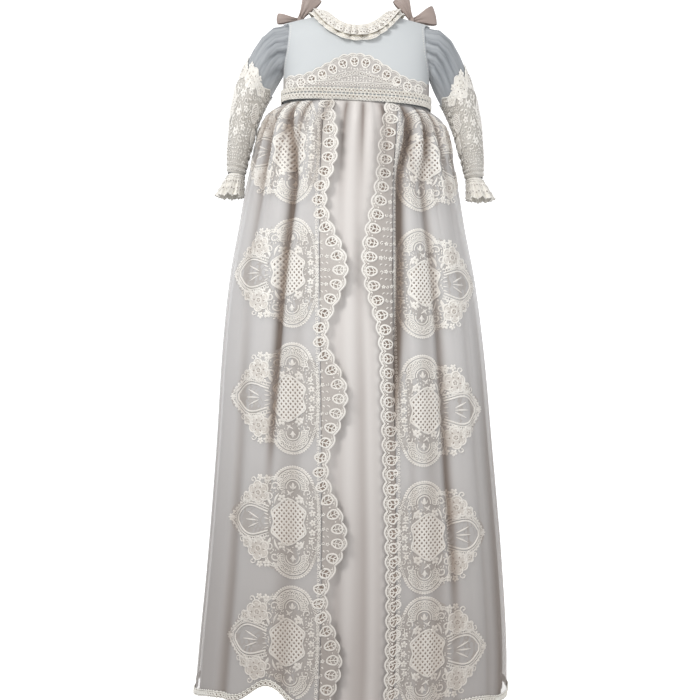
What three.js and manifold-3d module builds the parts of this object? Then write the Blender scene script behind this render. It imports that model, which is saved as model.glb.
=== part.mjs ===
// Long christening gown, filled out as it is worn, with no wearer: millimetres, +Z up, front towards -Y.
// The origin is on the line of the shoulders, in the middle of the neck. Left and right are the picture's.
import * as THREE from 'three';
import { mergeVertices } from 'three/addons/utils/BufferGeometryUtils.js';
import Module from 'manifold-3d';

const wasm = await Module();
wasm.setup();

// Driving dimensions
const SEAM_GAP = 0.3;
const WAIST = -129;
const HEM = -972;
const WALL = {
  bodice: 1.5,
  underskirt: 1.2,
  overskirt: 1,
  lace: 1.2,
  sleeve: 1.2,
  frill: 1,
  ribbon: 1.2,
  braid: 1.6,
};

// The right side of the waist hangs a little lower than the left: a slope that fades away from the waist.
const TILT = { slope: 0.04, reach: 80 };

// Sections of the skirt's lining, from the waist to the hem: half width, half depth and a shift to the right.
const SKIRT = [
  { z: -129, width: 104.4, depth: 54.4, shift: 0 },
  { z: -136, width: 109, depth: 61, shift: 0 },
  { z: -152, width: 120, depth: 70, shift: -1 },
  { z: -177, width: 129, depth: 76, shift: -2 },
  { z: -203, width: 135, depth: 81, shift: -3 },
  { z: -251, width: 147, depth: 88, shift: -4 },
  { z: -307, width: 158, depth: 94, shift: -4 },
  { z: -380, width: 172, depth: 100, shift: -3 },
  { z: -482, width: 184, depth: 106, shift: -1 },
  { z: -628, width: 195, depth: 112, shift: 2 },
  { z: -788, width: 208, depth: 118, shift: 4 },
  { z: -905, width: 217, depth: 122, shift: 3 },
  { z: -1000, width: 221, depth: 125, shift: 0 },
];

// The deepest folds that both layers of the skirt share. Angles are in degrees from the front's middle to
// the right, at the waist, at mid height and at the hem. The fold has gone at height end.
const FOLDS = [
  { waist: -47, middle: -33, hem: -38, depth: 8, width: 12, end: -660 },
  { waist: -68, middle: -57, hem: -60, depth: 5, width: 12, end: -420 },
  { waist: 36, middle: 21, hem: 17, depth: 7, width: 12, end: -620 },
  { waist: 56, middle: 40, hem: 41, depth: 6, width: 13, end: -860 },
  { waist: 2, middle: 3, hem: 4, depth: 3, width: 12, end: -1400 },
  { waist: -8, middle: -5, hem: -6, depth: 2.5, width: 12, end: -1400 },
  { waist: 118, middle: 122, hem: 120, depth: 7, width: 13, end: -640 },
  { waist: 150, middle: 152, hem: 149, depth: 6, width: 13, end: -880 },
  { waist: 187, middle: 183, hem: 186, depth: 7, width: 12, end: -580 },
  { waist: 216, middle: 213, hem: 217, depth: 6, width: 13, end: -780 },
  { waist: 246, middle: 240, hem: 243, depth: 7, width: 13, end: -520 },
];
const FOLD_MIDDLE = -260;
// Folds grow within a first length below the waist, and each one fades over a length at its end.
const FOLD_START = 45;
const FOLD_FADE = 220;

// Small gathers under the waist seam: how many all round, and how far they stand out.
const GATHERS = { count: 26, height: 4, low: 0.8, startWithin: 12, fade: 110, uneven: 0.55 };
const UNEVEN = { slow: 3, quick: 7, shift: 1 };

// Overskirt: its clearance to the lining, and where its front panels begin, as arc lengths from the middle.
const OVER = { waistLift: 0.4, lift: 4.2, liftWithin: 30, seamLeft: 44, seamRight: 56, seamRoom: 1 };

// The free front edges of the overskirt, as arc lengths from the middle of the front, and how far they curl.
const EDGE_LEFT = [
  { z: -129, arc: 30, curl: 1 },
  { z: -206, arc: 20, curl: 4 },
  { z: -283, arc: 33, curl: 2 },
  { z: -372, arc: 5, curl: 6 },
  { z: -463, arc: 33, curl: 2 },
  { z: -545, arc: 7, curl: 6 },
  { z: -646, arc: 34, curl: 2 },
  { z: -738, arc: 9, curl: 6 },
  { z: -816, arc: 35, curl: 2 },
  { z: -906, arc: 14, curl: 6 },
  { z: -972, arc: 30, curl: 3 },
];
const EDGE_RIGHT = [
  { z: -129, arc: 40, curl: 1 },
  { z: -185, arc: 33, curl: 3 },
  { z: -252, arc: 29, curl: 4 },
  { z: -364, arc: 12, curl: 5 },
  { z: -464, arc: 33, curl: 1 },
  { z: -560, arc: 36, curl: 0 },
  { z: -700, arc: 39, curl: 0 },
  { z: -840, arc: 42, curl: 0 },
  { z: -972, arc: 42, curl: 0 },
];
const SCALLOP = { pitch: 19.6, depth: 4.5, steps: 2 };

// Medallions of lace: heights of their middles, how far the middle is from the panel's front seam, and how
// far the lowest stay above the braid of the hem.
const MEDALLION_LEFT = [-203, -376, -549, -717, -879];
const MEDALLION_RIGHT = [-212, -389, -564, -736, -892];
const MEDALLION_INSET = 45;
const MEDALLION_FOOT = 4;
const MEDALLION_HEAD = 8;
const MEDALLION_CUTTER = { steps: 16, halfDepth: 28 };
// The outline of one medallion about its middle: angle 0 points to the front edge and 180 to the side.
const MEDALLION_OUTLINE = [
  { angle: 0, reach: 41 },
  { angle: 30, reach: 47 },
  { angle: 62, reach: 66 },
  { angle: 90, reach: 74 },
  { angle: 112, reach: 70 },
  { angle: 128, reach: 76 },
  { angle: 144, reach: 70 },
  { angle: 158, reach: 54 },
  { angle: 168, reach: 72 },
  { angle: 180, reach: 90 },
];

// The hem rises in one place in front on the left, and waves a little all round.
const HEM_RISE = { angle: -31, width: 11, height: 22 };
const HEM_WAVE = { count: 7, height: 5, shift: 2 };
const LINING_RISE = 3;
const BRAID_HEIGHT = 9;

// Bodice sections: half width and half depth. Its sections are superellipses.
const BODICE = [
  { z: -131, width: 106, depth: 56 },
  { z: -85, width: 106, depth: 55 },
  { z: -45, width: 107, depth: 51 },
  { z: -5, width: 107, depth: 49 },
];
const BODICE_POWER = 3;
const SHOULDER = { neck: 4, tip: -8, neckHalf: 50, tipHalf: 105, round: 45, pastTip: 1.1 };
const NECKLINE = { front: -29, back: -6, power: 2.4 };
const ARMHOLE = { middle: -46.5, halfHeight: 37.5, halfDepth: 30, least: 0.5, deepest: 0.8 };
const BACK_LAP = 9;
// Ends of the two back halves and of the trims, as shares of the lap.
const LAP_SHARE = { under: 1 / 3, trimStart: 1 / 2, trimEnd: 1.4 };
const BUTTON = { radius: 4.5, narrow: 0.8, height: 2.6, clearance: 0.3, sides: 12 };
const BUTTONS = { count: 4, top: -31, pitch: 24 };

// Lace of the yoke: the height of its arch at distances from the middle.
const ARCH = [
  { x: 0, z: -65 },
  { x: 20, z: -69 },
  { x: 38, z: -79 },
  { x: 62, z: -92 },
  { x: 76, z: -97 },
  { x: 108, z: -98 },
];
const YOKE_FOOT = -112.5;
const YOKE_REACH = 0.97;
const TRIMS = [
  { name: 'waist_trim_upper', top: -113.5, foot: -120 },
  { name: 'waist_trim_lower', top: -122, foot: -128.5 },
];
const YOKE_SCALLOP = { pitch: 12.5, depth: 2.5 };
const LAID = 0.6;

// Rings of a sleeve, from the armhole down: its outer and inner side in front view, and its half depth.
const SLEEVE = [
  { outerX: 105, outerZ: -9, innerX: 105, innerZ: -84, depth: 30 },
  { outerX: 121, outerZ: -14, innerX: 108.5, innerZ: -90, depth: 38 },
  { outerX: 138, outerZ: -29, innerX: 113, innerZ: -99, depth: 42 },
  { outerX: 151, outerZ: -51, innerX: 119, innerZ: -110, depth: 43 },
  { outerX: 164, outerZ: -80, innerX: 127, innerZ: -123, depth: 41 },
  { outerX: 175, outerZ: -110, innerX: 136, innerZ: -140, depth: 38 },
  { outerX: 181, outerZ: -141, innerX: 144, innerZ: -160, depth: 35 },
  { outerX: 184, outerZ: -175, innerX: 151, innerZ: -186, depth: 32 },
  { outerX: 186, outerZ: -204, innerX: 158, innerZ: -210, depth: 27 },
  { outerX: 185, outerZ: -228, innerX: 162.5, innerZ: -230, depth: 20 },
];
const SLEEVE_PLEATS = { count: 6, height: 2.4, fullest: 1.2, fade: 4.5, uneven: 0.6, room: 0.9 };
// The sleeve's first ring follows the armhole between these heights.
const SLEEVE_SEAM = { foot: -84, top: -9 };
const SLEEVE_LACE = { from: 3.4, wave: 0.5, petals: 6 };
const CUFF = { drop: 29, flare: 6.5, power: 0.8, waves: 9, wave: 2.6, rise: 1.5, room: 1.4, turn: 0.3 };
const CUFF_ROWS = [0, 0.45, 1];

const FRILL = { header: 6, fall: 18, clearance: 2.6, waves: 26, wave: 1.7, droop: 130, rise: 1.5 };
const FRILL_ROWS = [0, 0.25, 1];

// Bows: the knot's place behind the shoulder seam and its two loops, each with a direction in front view.
const BOWS = [
  { name: 'left', x: -84, y: 9, z: 1.8, loops: [
    { name: 'inner', angle: 60, length: 42, width: 28, spread: 7 },
    { name: 'outer', angle: 178, length: 34, width: 15, spread: 6 },
  ] },
  { name: 'right', x: 81, y: 9, z: 2, loops: [
    { name: 'inner', angle: 118, length: 40, width: 24, spread: 7 },
    { name: 'outer', angle: 14, length: 36, width: 28, spread: 7 },
  ] },
];
const KNOT = { radius: 5.5, height: 9, wide: 0.75, deep: 0.8, sides: 8, rings: 5 };
const LOOP = { start: 6, pinch: 0.3, nearDepth: 0.55, steps: 14 };

// How finely curved walls are divided: rows down, columns across and corners round.
const STEPS = {
  arc: 60,
  edge: 6,
  liningRows: 9,
  liningColumns: 26,
  liningBackRows: 7,
  liningBackColumns: 16,
  overRows: 11,
  overColumns: 17,
  overBackColumns: 26,
  bodice: 18,
  bodiceBack: 8,
  yoke: 34,
  sleeve: 18,
  perWave: 3,
};
// Rows lie closer together towards the waist, and columns towards the middle of the front.
const CROWDING = { rows: 1.5, backRows: 1.35, columns: 1.35 };

const COLOUR = {
  weave: 0xe3e8ea,
  satin: 0xd6d0cb,
  tulle: 0xcfcdca,
  lace: 0xece8e0,
  braid: 0xe2dacb,
  ribbon: 0x8f827c,
  button: 0xf0ece4,
};

const gown = new THREE.Group();

const clamp = (value, low, high) => Math.min(high, Math.max(low, value));
const mix = (a, b, t) => a + (b - a) * t;
const radians = (degrees) => degrees * Math.PI / 180;
const smooth = (t) => t * t * (3 - 2 * t);
const bell = (distance, width) => Math.exp(-((distance / width) ** 2));

// The value of a table's column at a key, along a smooth curve through its rows.
function along(rows, key, column, at) {
  const rising = rows[1][key] > rows[0][key] ? 1 : -1;
  let i = 0;
  while (i < rows.length - 2 && (at - rows[i + 1][key]) * rising > 0) {
    i += 1;
  }
  const slope = (k) => {
    const a = rows[Math.max(k - 1, 0)];
    const b = rows[Math.min(k + 1, rows.length - 1)];
    return (b[column] - a[column]) / (b[key] - a[key]);
  };
  const step = rows[i + 1][key] - rows[i][key];
  const t = clamp((at - rows[i][key]) / step, 0, 1);
  const h = t * t * (3 - 2 * t);
  const rise = t * (1 - t) * (1 - t) * slope(i) * step - t * t * (1 - t) * slope(i + 1) * step;
  return rows[i][column] * (1 - h) + rows[i + 1][column] * h + rise;
}

// Lets the right side of the waist hang lower.
function tilted(point) {
  const fade = bell(point.z - WAIST, TILT.reach);
  point.z -= TILT.slope * point.x * fade;
  return point;
}

const positions = (vertices) => new THREE.Float32BufferAttribute(vertices.flatMap((p) => p.toArray()), 3);

function signedVolume(vertices, triangles) {
  let volume = 0;
  for (const [a, b, c] of triangles) {
    volume += vertices[a].dot(vertices[b].clone().cross(vertices[c])) / 6;
  }
  return volume;
}

// A closed body from vertices and triangles, turned so that its faces point out.
function addBody(name, colour, vertices, triangles) {
  const outward = signedVolume(vertices, triangles) > 0;
  const index = triangles.flatMap(([a, b, c]) => (outward ? [a, b, c] : [a, c, b]));
  const geometry = new THREE.BufferGeometry();
  geometry.setAttribute('position', positions(vertices));
  geometry.setIndex(index);
  addMesh(name, colour, geometry);
}

function addMesh(name, colour, geometry) {
  geometry.computeVertexNormals();
  const material = new THREE.MeshStandardMaterial({ color: colour, roughness: 0.85, metalness: 0 });
  const mesh = new THREE.Mesh(geometry, material);
  mesh.name = name;
  gown.add(mesh);
}

// Normals of a grid of points whose columns run right and rows run down, seen from outside. Level normals
// have no height, so that a hanging panel's upper and lower edges stay where they are.
function gridNormals(rows, closed, level) {
  const last = rows.length - 1;
  return rows.map((row, j) => row.map((_, i) => {
    const count = row.length;
    const left = closed ? (i + count - 1) % count : Math.max(i - 1, 0);
    const right = closed ? (i + 1) % count : Math.min(i + 1, count - 1);
    const across = row[right].clone().sub(row[left]);
    const down = rows[Math.min(j + 1, last)][i].clone().sub(rows[Math.max(j - 1, 0)][i]);
    const normal = down.cross(across);
    return (level ? normal.setZ(0) : normal).normalize();
  }));
}

// Points of a grid moved out along its normals.
function movedOut(rows, distance, closed, level) {
  const normals = gridNormals(rows, closed, level);
  return rows.map((row, j) => row.map((p, i) => p.clone().addScaledVector(normals[j][i], distance)));
}

// Vertices and triangles of a wall between an inner and an outer grid, rims included.
function wallBody(inner, outer, closed) {
  const height = inner.length;
  const count = inner[0].length;
  const vertices = [...inner.flat(), ...outer.flat()];
  const shift = height * count;
  const at = (j, i) => j * count + (i % count);
  const triangles = [];
  const quad = (a, b, c, d) => triangles.push([a, b, c], [a, c, d]);
  const spans = closed ? count : count - 1;
  for (let j = 0; j < height - 1; j += 1) {
    for (let i = 0; i < spans; i += 1) {
      quad(at(j, i), at(j + 1, i), at(j + 1, i + 1), at(j, i + 1));
      quad(shift + at(j, i), shift + at(j, i + 1), shift + at(j + 1, i + 1), shift + at(j + 1, i));
    }
  }
  for (let i = 0; i < spans; i += 1) {
    quad(at(0, i), at(0, i + 1), shift + at(0, i + 1), shift + at(0, i));
    quad(at(height - 1, i + 1), at(height - 1, i), shift + at(height - 1, i), shift + at(height - 1, i + 1));
  }
  for (let j = 0; j < height - 1 && !closed; j += 1) {
    quad(at(j + 1, 0), at(j, 0), shift + at(j, 0), shift + at(j + 1, 0));
    quad(at(j, count - 1), at(j + 1, count - 1), shift + at(j + 1, count - 1), shift + at(j, count - 1));
  }
  return { vertices, triangles };
}

// A cloth wall from a grid of points: it starts outset outside them and is thick outwards.
function addWall(name, colour, rows, thickness, { outset = 0, closed = false, level = false } = {}) {
  const inner = movedOut(rows, outset, closed, level);
  const outer = movedOut(rows, outset + thickness, closed, level);
  const body = wallBody(inner, outer, closed);
  addBody(name, colour, body.vertices, body.triangles);
}

function grid(rowValues, columnValues, pointAt) {
  return rowValues.map((row) => columnValues.map((column) => pointAt(column, row)));
}

const spread = (from, to, steps) => Array.from({ length: steps + 1 }, (_, i) => mix(from, to, i / steps));
const around = (steps) => Array.from({ length: steps }, (_, i) => 2 * Math.PI * i / steps);

// Skirt surfaces

// The lining's section at a height.
const sectionAt = (z) => ({
  width: along(SKIRT, 'z', 'width', z),
  depth: along(SKIRT, 'z', 'depth', z),
  shift: along(SKIRT, 'z', 'shift', z),
});

function arcRate(section, angle) {
  return Math.hypot(section.width * Math.cos(angle), section.depth * Math.sin(angle));
}

// The angle at an arc length from the middle of the front.
function angleAtArc(z, arc) {
  const section = sectionAt(z);
  const step = arc / STEPS.arc;
  let angle = 0;
  for (let i = 0; i < STEPS.arc; i += 1) {
    const half = angle + step / arcRate(section, angle) / 2;
    angle += step / arcRate(section, half);
  }
  return angle;
}

function foldAngle(fold, z) {
  const upper = smooth(clamp((WAIST - z) / (WAIST - FOLD_MIDDLE), 0, 1));
  const lower = clamp((FOLD_MIDDLE - z) / (FOLD_MIDDLE - HEM), 0, 1);
  return radians(mix(mix(fold.waist, fold.middle, upper), fold.hem, lower));
}

// How far the shared folds draw the skirt in.
function foldDepth(angle, z) {
  const section = sectionAt(z);
  const start = smooth(clamp((WAIST - z) / FOLD_START, 0, 1));
  let depth = 0;
  for (const fold of FOLDS) {
    const fade = smooth(clamp((z - fold.end) / FOLD_FADE, 0, 1));
    let away = angle - foldAngle(fold, z);
    away -= 2 * Math.PI * Math.round(away / (2 * Math.PI));
    depth += fold.depth * fade * start * bell(away * arcRate(section, angle), fold.width);
  }
  return depth;
}

// How far the gathers under the waist stand out.
function gatherHeight(angle, z) {
  const below = WAIST - z;
  const start = smooth(clamp(below / GATHERS.startWithin, 0, 1));
  const size = GATHERS.low + (GATHERS.height - GATHERS.low) * bell(below, GATHERS.fade);
  const slow = Math.sin(UNEVEN.slow * angle + UNEVEN.shift);
  const uneven = GATHERS.uneven * (slow + Math.sin(UNEVEN.quick * angle));
  const phase = GATHERS.count * angle + uneven;
  return start * size * (0.5 + 0.5 * Math.cos(phase));
}

// A point of the skirt: out is measured from the lining's inner face, square to its section.
function skirtPoint(angle, z, out) {
  const section = sectionAt(z);
  const { width, depth, shift } = section;
  const sine = Math.sin(angle);
  const cosine = Math.cos(angle);
  const across = new THREE.Vector3(depth * sine, -width * cosine, 0).normalize();
  const point = new THREE.Vector3(width * sine + shift, -depth * cosine, z);
  return tilted(point.addScaledVector(across, out - foldDepth(angle, z)));
}

function hemHeight(angle) {
  const away = angle - radians(HEM_RISE.angle);
  const turn = away - 2 * Math.PI * Math.round(away / (2 * Math.PI));
  const wave = HEM_WAVE.height * Math.sin(HEM_WAVE.count * angle + HEM_WAVE.shift);
  return HEM + wave + HEM_RISE.height * bell(turn, radians(HEM_RISE.width));
}

// Heights of a skirt panel's rows as shares of its drop, closer together under the waist.
const dropShares = (steps, crowding) => spread(0, 1, steps).map((t) => t ** crowding);

const liningOut = WALL.underskirt;
const liftAt = (z) => mix(OVER.waistLift, OVER.lift, smooth(clamp((WAIST - z) / OVER.liftWithin, 0, 1)));
const overOut = (angle, z) => liningOut + liftAt(z) + gatherHeight(angle, z);
const sideGap = (z) => SEAM_GAP / sectionAt(z).depth;

// A panel between two angles that change with height, on a surface that stands out from the lining.
function skirtPanel(shares, columns, fromAngle, toAngle, out, hemLift) {
  return grid(shares, columns, (column, share) => {
    const rough = mix(WAIST - SEAM_GAP, HEM, share);
    const angle = mix(fromAngle(rough), toAngle(rough), column);
    const z = mix(WAIST - SEAM_GAP, hemHeight(angle) + hemLift, share);
    return skirtPoint(angle, z, out(angle, z));
  });
}

const rightSide = (z) => Math.PI / 2 - sideGap(z);
const leftSide = (z) => -rightSide(z);

// Columns that lie closer together in the middle, where the lining shows.
const crowded = (steps) => spread(-1, 1, steps).map(
  (c) => 0.5 + 0.5 * Math.sign(c) * Math.abs(c) ** CROWDING.columns,
);

function addUnderskirt() {
  const flush = () => 0;
  const frontShares = dropShares(STEPS.liningRows, CROWDING.rows);
  const frontColumns = crowded(STEPS.liningColumns);
  const front = skirtPanel(frontShares, frontColumns, leftSide, rightSide, flush, LINING_RISE);
  addWall('underskirt_front', COLOUR.satin, front, WALL.underskirt, { level: true });
  const backStart = (z) => Math.PI / 2 + sideGap(z);
  const backEnd = (z) => 1.5 * Math.PI - sideGap(z);
  const backShares = dropShares(STEPS.liningBackRows, CROWDING.backRows);
  const backColumns = spread(0, 1, STEPS.liningBackColumns);
  const back = skirtPanel(backShares, backColumns, backStart, backEnd, flush, LINING_RISE);
  addWall('underskirt_back', COLOUR.satin, back, WALL.underskirt, { level: true });
}

// The three panels of the overskirt as grids of points on their inner faces.
const overShares = dropShares(STEPS.overRows, CROWDING.rows);
const overColumns = spread(0, 1, STEPS.overColumns);
const seamAngle = (side, z) => side * angleAtArc(z, side < 0 ? OVER.seamLeft : OVER.seamRight);
const overPanels = {
  left: skirtPanel(overShares, overColumns, leftSide, (z) => seamAngle(-1, z), overOut, 0),
  right: skirtPanel(overShares, overColumns, (z) => seamAngle(1, z), rightSide, overOut, 0),
  back: skirtPanel(
    overShares,
    spread(0, 1, STEPS.overBackColumns),
    (z) => Math.PI / 2 + sideGap(z),
    (z) => 1.5 * Math.PI - sideGap(z),
    overOut,
    0,
  ),
};

function addOverskirt() {
  for (const [side, rows] of Object.entries(overPanels)) {
    addWall(`overskirt_${side}`, COLOUR.tulle, rows, WALL.overskirt, { level: true });
  }
}

// A border from the panel's front seam to its free scalloped edge.
function addBorder(name, side, edges) {
  const count = Math.round((WAIST - HEM) / SCALLOP.pitch);
  const shares = spread(0, 1, count * SCALLOP.steps);
  const columns = side < 0 ? [0, 1] : [1, 0];
  const rows = grid(shares, columns, (column, share) => {
    const z = mix(WAIST - SEAM_GAP, HEM, share);
    const seam = (side < 0 ? OVER.seamLeft : OVER.seamRight) - OVER.seamRoom;
    const bite = SCALLOP.depth * (1 - Math.abs(Math.sin(Math.PI * count * share)));
    const edge = along(edges, 'z', 'arc', z) + bite;
    const angle = side * angleAtArc(z, mix(seam, edge, column));
    const lift = along(edges, 'z', 'curl', z) * column * column;
    return skirtPoint(angle, mix(WAIST - SEAM_GAP, hemHeight(angle), share), overOut(angle, z) + lift);
  });
  addWall(name, COLOUR.lace, rows, WALL.overskirt, { level: true });
}

function toSolid(vertices, triangles) {
  const outward = signedVolume(vertices, triangles) > 0;
  const geometry = new THREE.BufferGeometry();
  geometry.setAttribute('position', positions(vertices));
  geometry.setIndex(triangles.flatMap(([a, b, c]) => (outward ? [a, b, c] : [a, c, b])));
  const merged = mergeVertices(geometry);
  return new wasm.Manifold(new wasm.Mesh({
    numProp: 3,
    vertProperties: merged.attributes.position.array,
    triVerts: new Uint32Array(merged.index.array),
  }));
}

function fromSolid(solid) {
  const mesh = solid.getMesh();
  const geometry = new THREE.BufferGeometry();
  geometry.setAttribute('position', new THREE.Float32BufferAttribute(Array.from(mesh.vertProperties), 3));
  geometry.setIndex(Array.from(mesh.triVerts));
  return geometry;
}

// A block through the skirt's front over one medallion's outline.
function medallionBlock(side, middle, top) {
  const seam = side < 0 ? OVER.seamLeft : OVER.seamRight;
  const turns = around(MEDALLION_CUTTER.steps);
  const ring = (out) => turns.map((turn) => {
    const degrees = Math.abs(turn > Math.PI ? 2 * Math.PI - turn : turn) * 180 / Math.PI;
    const reach = along(MEDALLION_OUTLINE, 'angle', 'reach', degrees);
    const rough = Math.min(middle + reach * Math.sin(turn), top);
    const angle = side * angleAtArc(rough, seam + MEDALLION_INSET - reach * Math.cos(turn));
    const z = Math.max(rough, hemHeight(angle) + BRAID_HEIGHT + MEDALLION_FOOT);
    return skirtPoint(angle, z, out + foldDepth(angle, z));
  });
  const centre = (out) => {
    const angle = side * angleAtArc(middle, seam + MEDALLION_INSET);
    return skirtPoint(angle, middle, out + foldDepth(angle, middle));
  };
  const depth = MEDALLION_CUTTER.halfDepth;
  const vertices = [...ring(-depth), ...ring(depth), centre(-depth), centre(depth)];
  const count = turns.length;
  const triangles = [];
  for (let i = 0; i < count; i += 1) {
    const next = (i + 1) % count;
    triangles.push([i, next, 2 * count], [count + next, count + i, 2 * count + 1]);
    triangles.push([next, i, count + i], [next, count + i, count + next]);
  }
  return toSolid(vertices, triangles);
}

// Medallions are parts of a layer that is made from the panel's own points, moved out.
function addMedallions(label, side, rows, middles) {
  const from = WALL.overskirt + SEAM_GAP;
  const outer = movedOut(rows, from + WALL.lace, false, true);
  const body = wallBody(movedOut(rows, from, false, true), outer, false);
  const layer = toSolid(body.vertices, body.triangles);
  middles.forEach((middle, i) => {
    const piece = layer.intersect(medallionBlock(side, middle, WAIST - MEDALLION_HEAD));
    addMesh(`medallion_${label}_${i + 1}`, COLOUR.lace, fromSolid(piece));
  });
}

// One long braid lies on the lower edge of all three panels.
function addHemBraid() {
  const panels = [overPanels.right, overPanels.back, overPanels.left];
  const joined = overPanels.left.map((_, j) => panels.flatMap((rows, k) => rows[j].slice(k === 0 ? 0 : 1)));
  const moved = movedOut(joined, WALL.overskirt + SEAM_GAP, false, true);
  const last = moved.length - 1;
  const strip = [1, 0].map((share) => moved[last].map((low, i) => {
    const high = moved[last - 1][i];
    const climb = share * BRAID_HEIGHT / low.distanceTo(high);
    return low.clone().lerp(high, climb);
  }));
  addWall('hem_braid', COLOUR.braid, strip, WALL.braid, { level: true });
}

// Bodice surfaces

const shoulderHeight = (x) => mix(SHOULDER.neck, SHOULDER.tip, clamp(
  (Math.abs(x) - SHOULDER.neckHalf) / (SHOULDER.tipHalf - SHOULDER.neckHalf),
  0,
  SHOULDER.pastTip,
));

const topHeight = (x, neck) => {
  const share = Math.abs(x) / SHOULDER.neckHalf;
  return share < 1 ? mix(neck, SHOULDER.neck, share ** NECKLINE.power) : shoulderHeight(x);
};

// How far the bodice stands off the middle plane at a place in front view.
function bodiceDepth(x, z) {
  const t = clamp((shoulderHeight(x) - z) / SHOULDER.round, 0, 1);
  const fall = Math.sqrt(1 - (1 - t) ** 2);
  const share = clamp(Math.abs(x) / along(BODICE, 'z', 'width', z), 0, 1);
  return along(BODICE, 'z', 'depth', z) * fall * (1 - share ** BODICE_POWER) ** (1 / BODICE_POWER);
}

// Where the bodice ends at the armhole or side seam, as a distance from the middle.
function bodiceEdge(z) {
  const width = along(BODICE, 'z', 'width', z);
  const rise = clamp((z - ARMHOLE.middle) / ARMHOLE.halfHeight, -1, 1);
  const hole = ARMHOLE.halfDepth * Math.sqrt(1 - rise * rise);
  const t = clamp((SHOULDER.tip - z) / SHOULDER.round, 0, 1);
  const full = along(BODICE, 'z', 'depth', z) * Math.sqrt(1 - (1 - t) ** 2);
  const share = hole < ARMHOLE.least ? 0 : clamp(hole / Math.max(full, 1), 0, ARMHOLE.deepest);
  return width * (1 - share ** BODICE_POWER) ** (1 / BODICE_POWER);
}

// A point of the bodice: column from -1 at the left edge to 1 at the right, share from 0 at the top to 1.
function bodicePoint(column, share, back) {
  const across = Math.sin(column * Math.PI / 2);
  const neck = back ? NECKLINE.back : NECKLINE.front;
  let top = 0;
  for (let i = 0; i < STEPS.edge; i += 1) {
    top = topHeight(bodiceEdge(top) * across, neck);
  }
  return bodiceAt(column, mix(top, WAIST, share), back);
}

function bodiceAt(column, z, back) {
  const x = bodiceEdge(z) * Math.sin(column * Math.PI / 2);
  const depth = bodiceDepth(x, z) + SEAM_GAP / 2;
  return new THREE.Vector3(x, back ? depth : -depth, z);
}

const bodiceShares = [0, 0.02, 0.07, 0.16, 0.3, 0.5, 0.72, 1];

const lapColumn = () => Math.asin(BACK_LAP / BODICE[0].width) * 2 / Math.PI;

function addBodice() {
  const frontPoint = (c, share) => tilted(bodicePoint(c, share, false));
  const backPoint = (c, share) => tilted(bodicePoint(c, share, true));
  const front = grid(bodiceShares, spread(-1, 1, STEPS.bodice), frontPoint);
  addWall('bodice_front', COLOUR.weave, front, WALL.bodice);
  const lap = lapColumn();
  const under = lap * LAP_SHARE.under;
  const right = grid(bodiceShares, spread(1, under, STEPS.bodiceBack), backPoint);
  addWall('bodice_back_right', COLOUR.weave, right, WALL.bodice);
  const left = grid(bodiceShares, spread(-under, -1, STEPS.bodiceBack), backPoint);
  const placket = grid(bodiceShares, [lap, under, -under], backPoint);
  const raised = movedOut(placket, WALL.bodice + SEAM_GAP, false);
  const joined = left.map((row, j) => [raised[j][0], raised[j][1], ...row]);
  addWall('bodice_back_left', COLOUR.weave, joined, WALL.bodice);
}

function addButtons() {
  for (let i = 0; i < BUTTONS.count; i += 1) {
    const z = BUTTONS.top - i * BUTTONS.pitch;
    const point = tilted(new THREE.Vector3(0, bodiceDepth(0, z), z));
    const small = BUTTON.radius * BUTTON.narrow;
    const disc = new THREE.CylinderGeometry(BUTTON.radius, small, BUTTON.height, BUTTON.sides);
    disc.deleteAttribute('normal');
    disc.deleteAttribute('uv');
    const steep = bodiceDepth(0, z - 1) - bodiceDepth(0, z + 1);
    disc.rotateX(Math.atan2(steep, 2));
    const lapped = 2 * WALL.bodice + 2 * SEAM_GAP;
    disc.translate(0, point.y + lapped + BUTTON.height / 2 + BUTTON.clearance, point.z);
    addMesh(`back_button_${i + 1}`, COLOUR.button, mergeVertices(disc));
  }
}

function addYokeLace() {
  const rows = grid([0, 0.5, 1], spread(-1, 1, STEPS.yoke), (column, share) => {
    const x = bodiceEdge(YOKE_FOOT) * Math.sin(column * Math.PI / 2);
    const wave = YOKE_SCALLOP.depth * Math.abs(Math.sin(Math.PI * x / YOKE_SCALLOP.pitch));
    const top = along(ARCH, 'x', 'z', Math.abs(x)) + wave;
    return tilted(bodiceAt(column * YOKE_REACH, mix(top, YOKE_FOOT, share), false));
  });
  addWall('yoke_lace', COLOUR.lace, rows, WALL.lace, { outset: WALL.bodice + LAID });
}

// The trims run round the waist and leave the lap of the back free.
function addTrims() {
  const lap = lapColumn();
  const back = (c, z) => tilted(bodiceAt(c, z, true));
  for (const trim of TRIMS) {
    const rows = [trim.top, trim.foot].map((z) => [
      ...spread(-lap * LAP_SHARE.trimStart, -1, STEPS.bodiceBack).slice(0, -1).map((c) => back(c, z)),
      ...spread(-1, 1, STEPS.bodice).map((c) => tilted(bodiceAt(c, z, false))),
      ...spread(1, lap * LAP_SHARE.trimEnd, STEPS.bodiceBack).slice(1).map((c) => back(c, z)),
    ]);
    addWall(trim.name, COLOUR.braid, rows, WALL.braid, { outset: WALL.bodice + LAID });
  }
}

// Sleeves

function sleeveRing(index) {
  const i = clamp(Math.floor(index), 0, SLEEVE.length - 2);
  const t = index - i;
  const value = (column) => mix(SLEEVE[i][column], SLEEVE[i + 1][column], t);
  return {
    outer: new THREE.Vector3(value('outerX'), 0, value('outerZ')),
    inner: new THREE.Vector3(value('innerX'), 0, value('innerZ')),
    depth: value('depth'),
  };
}

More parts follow.
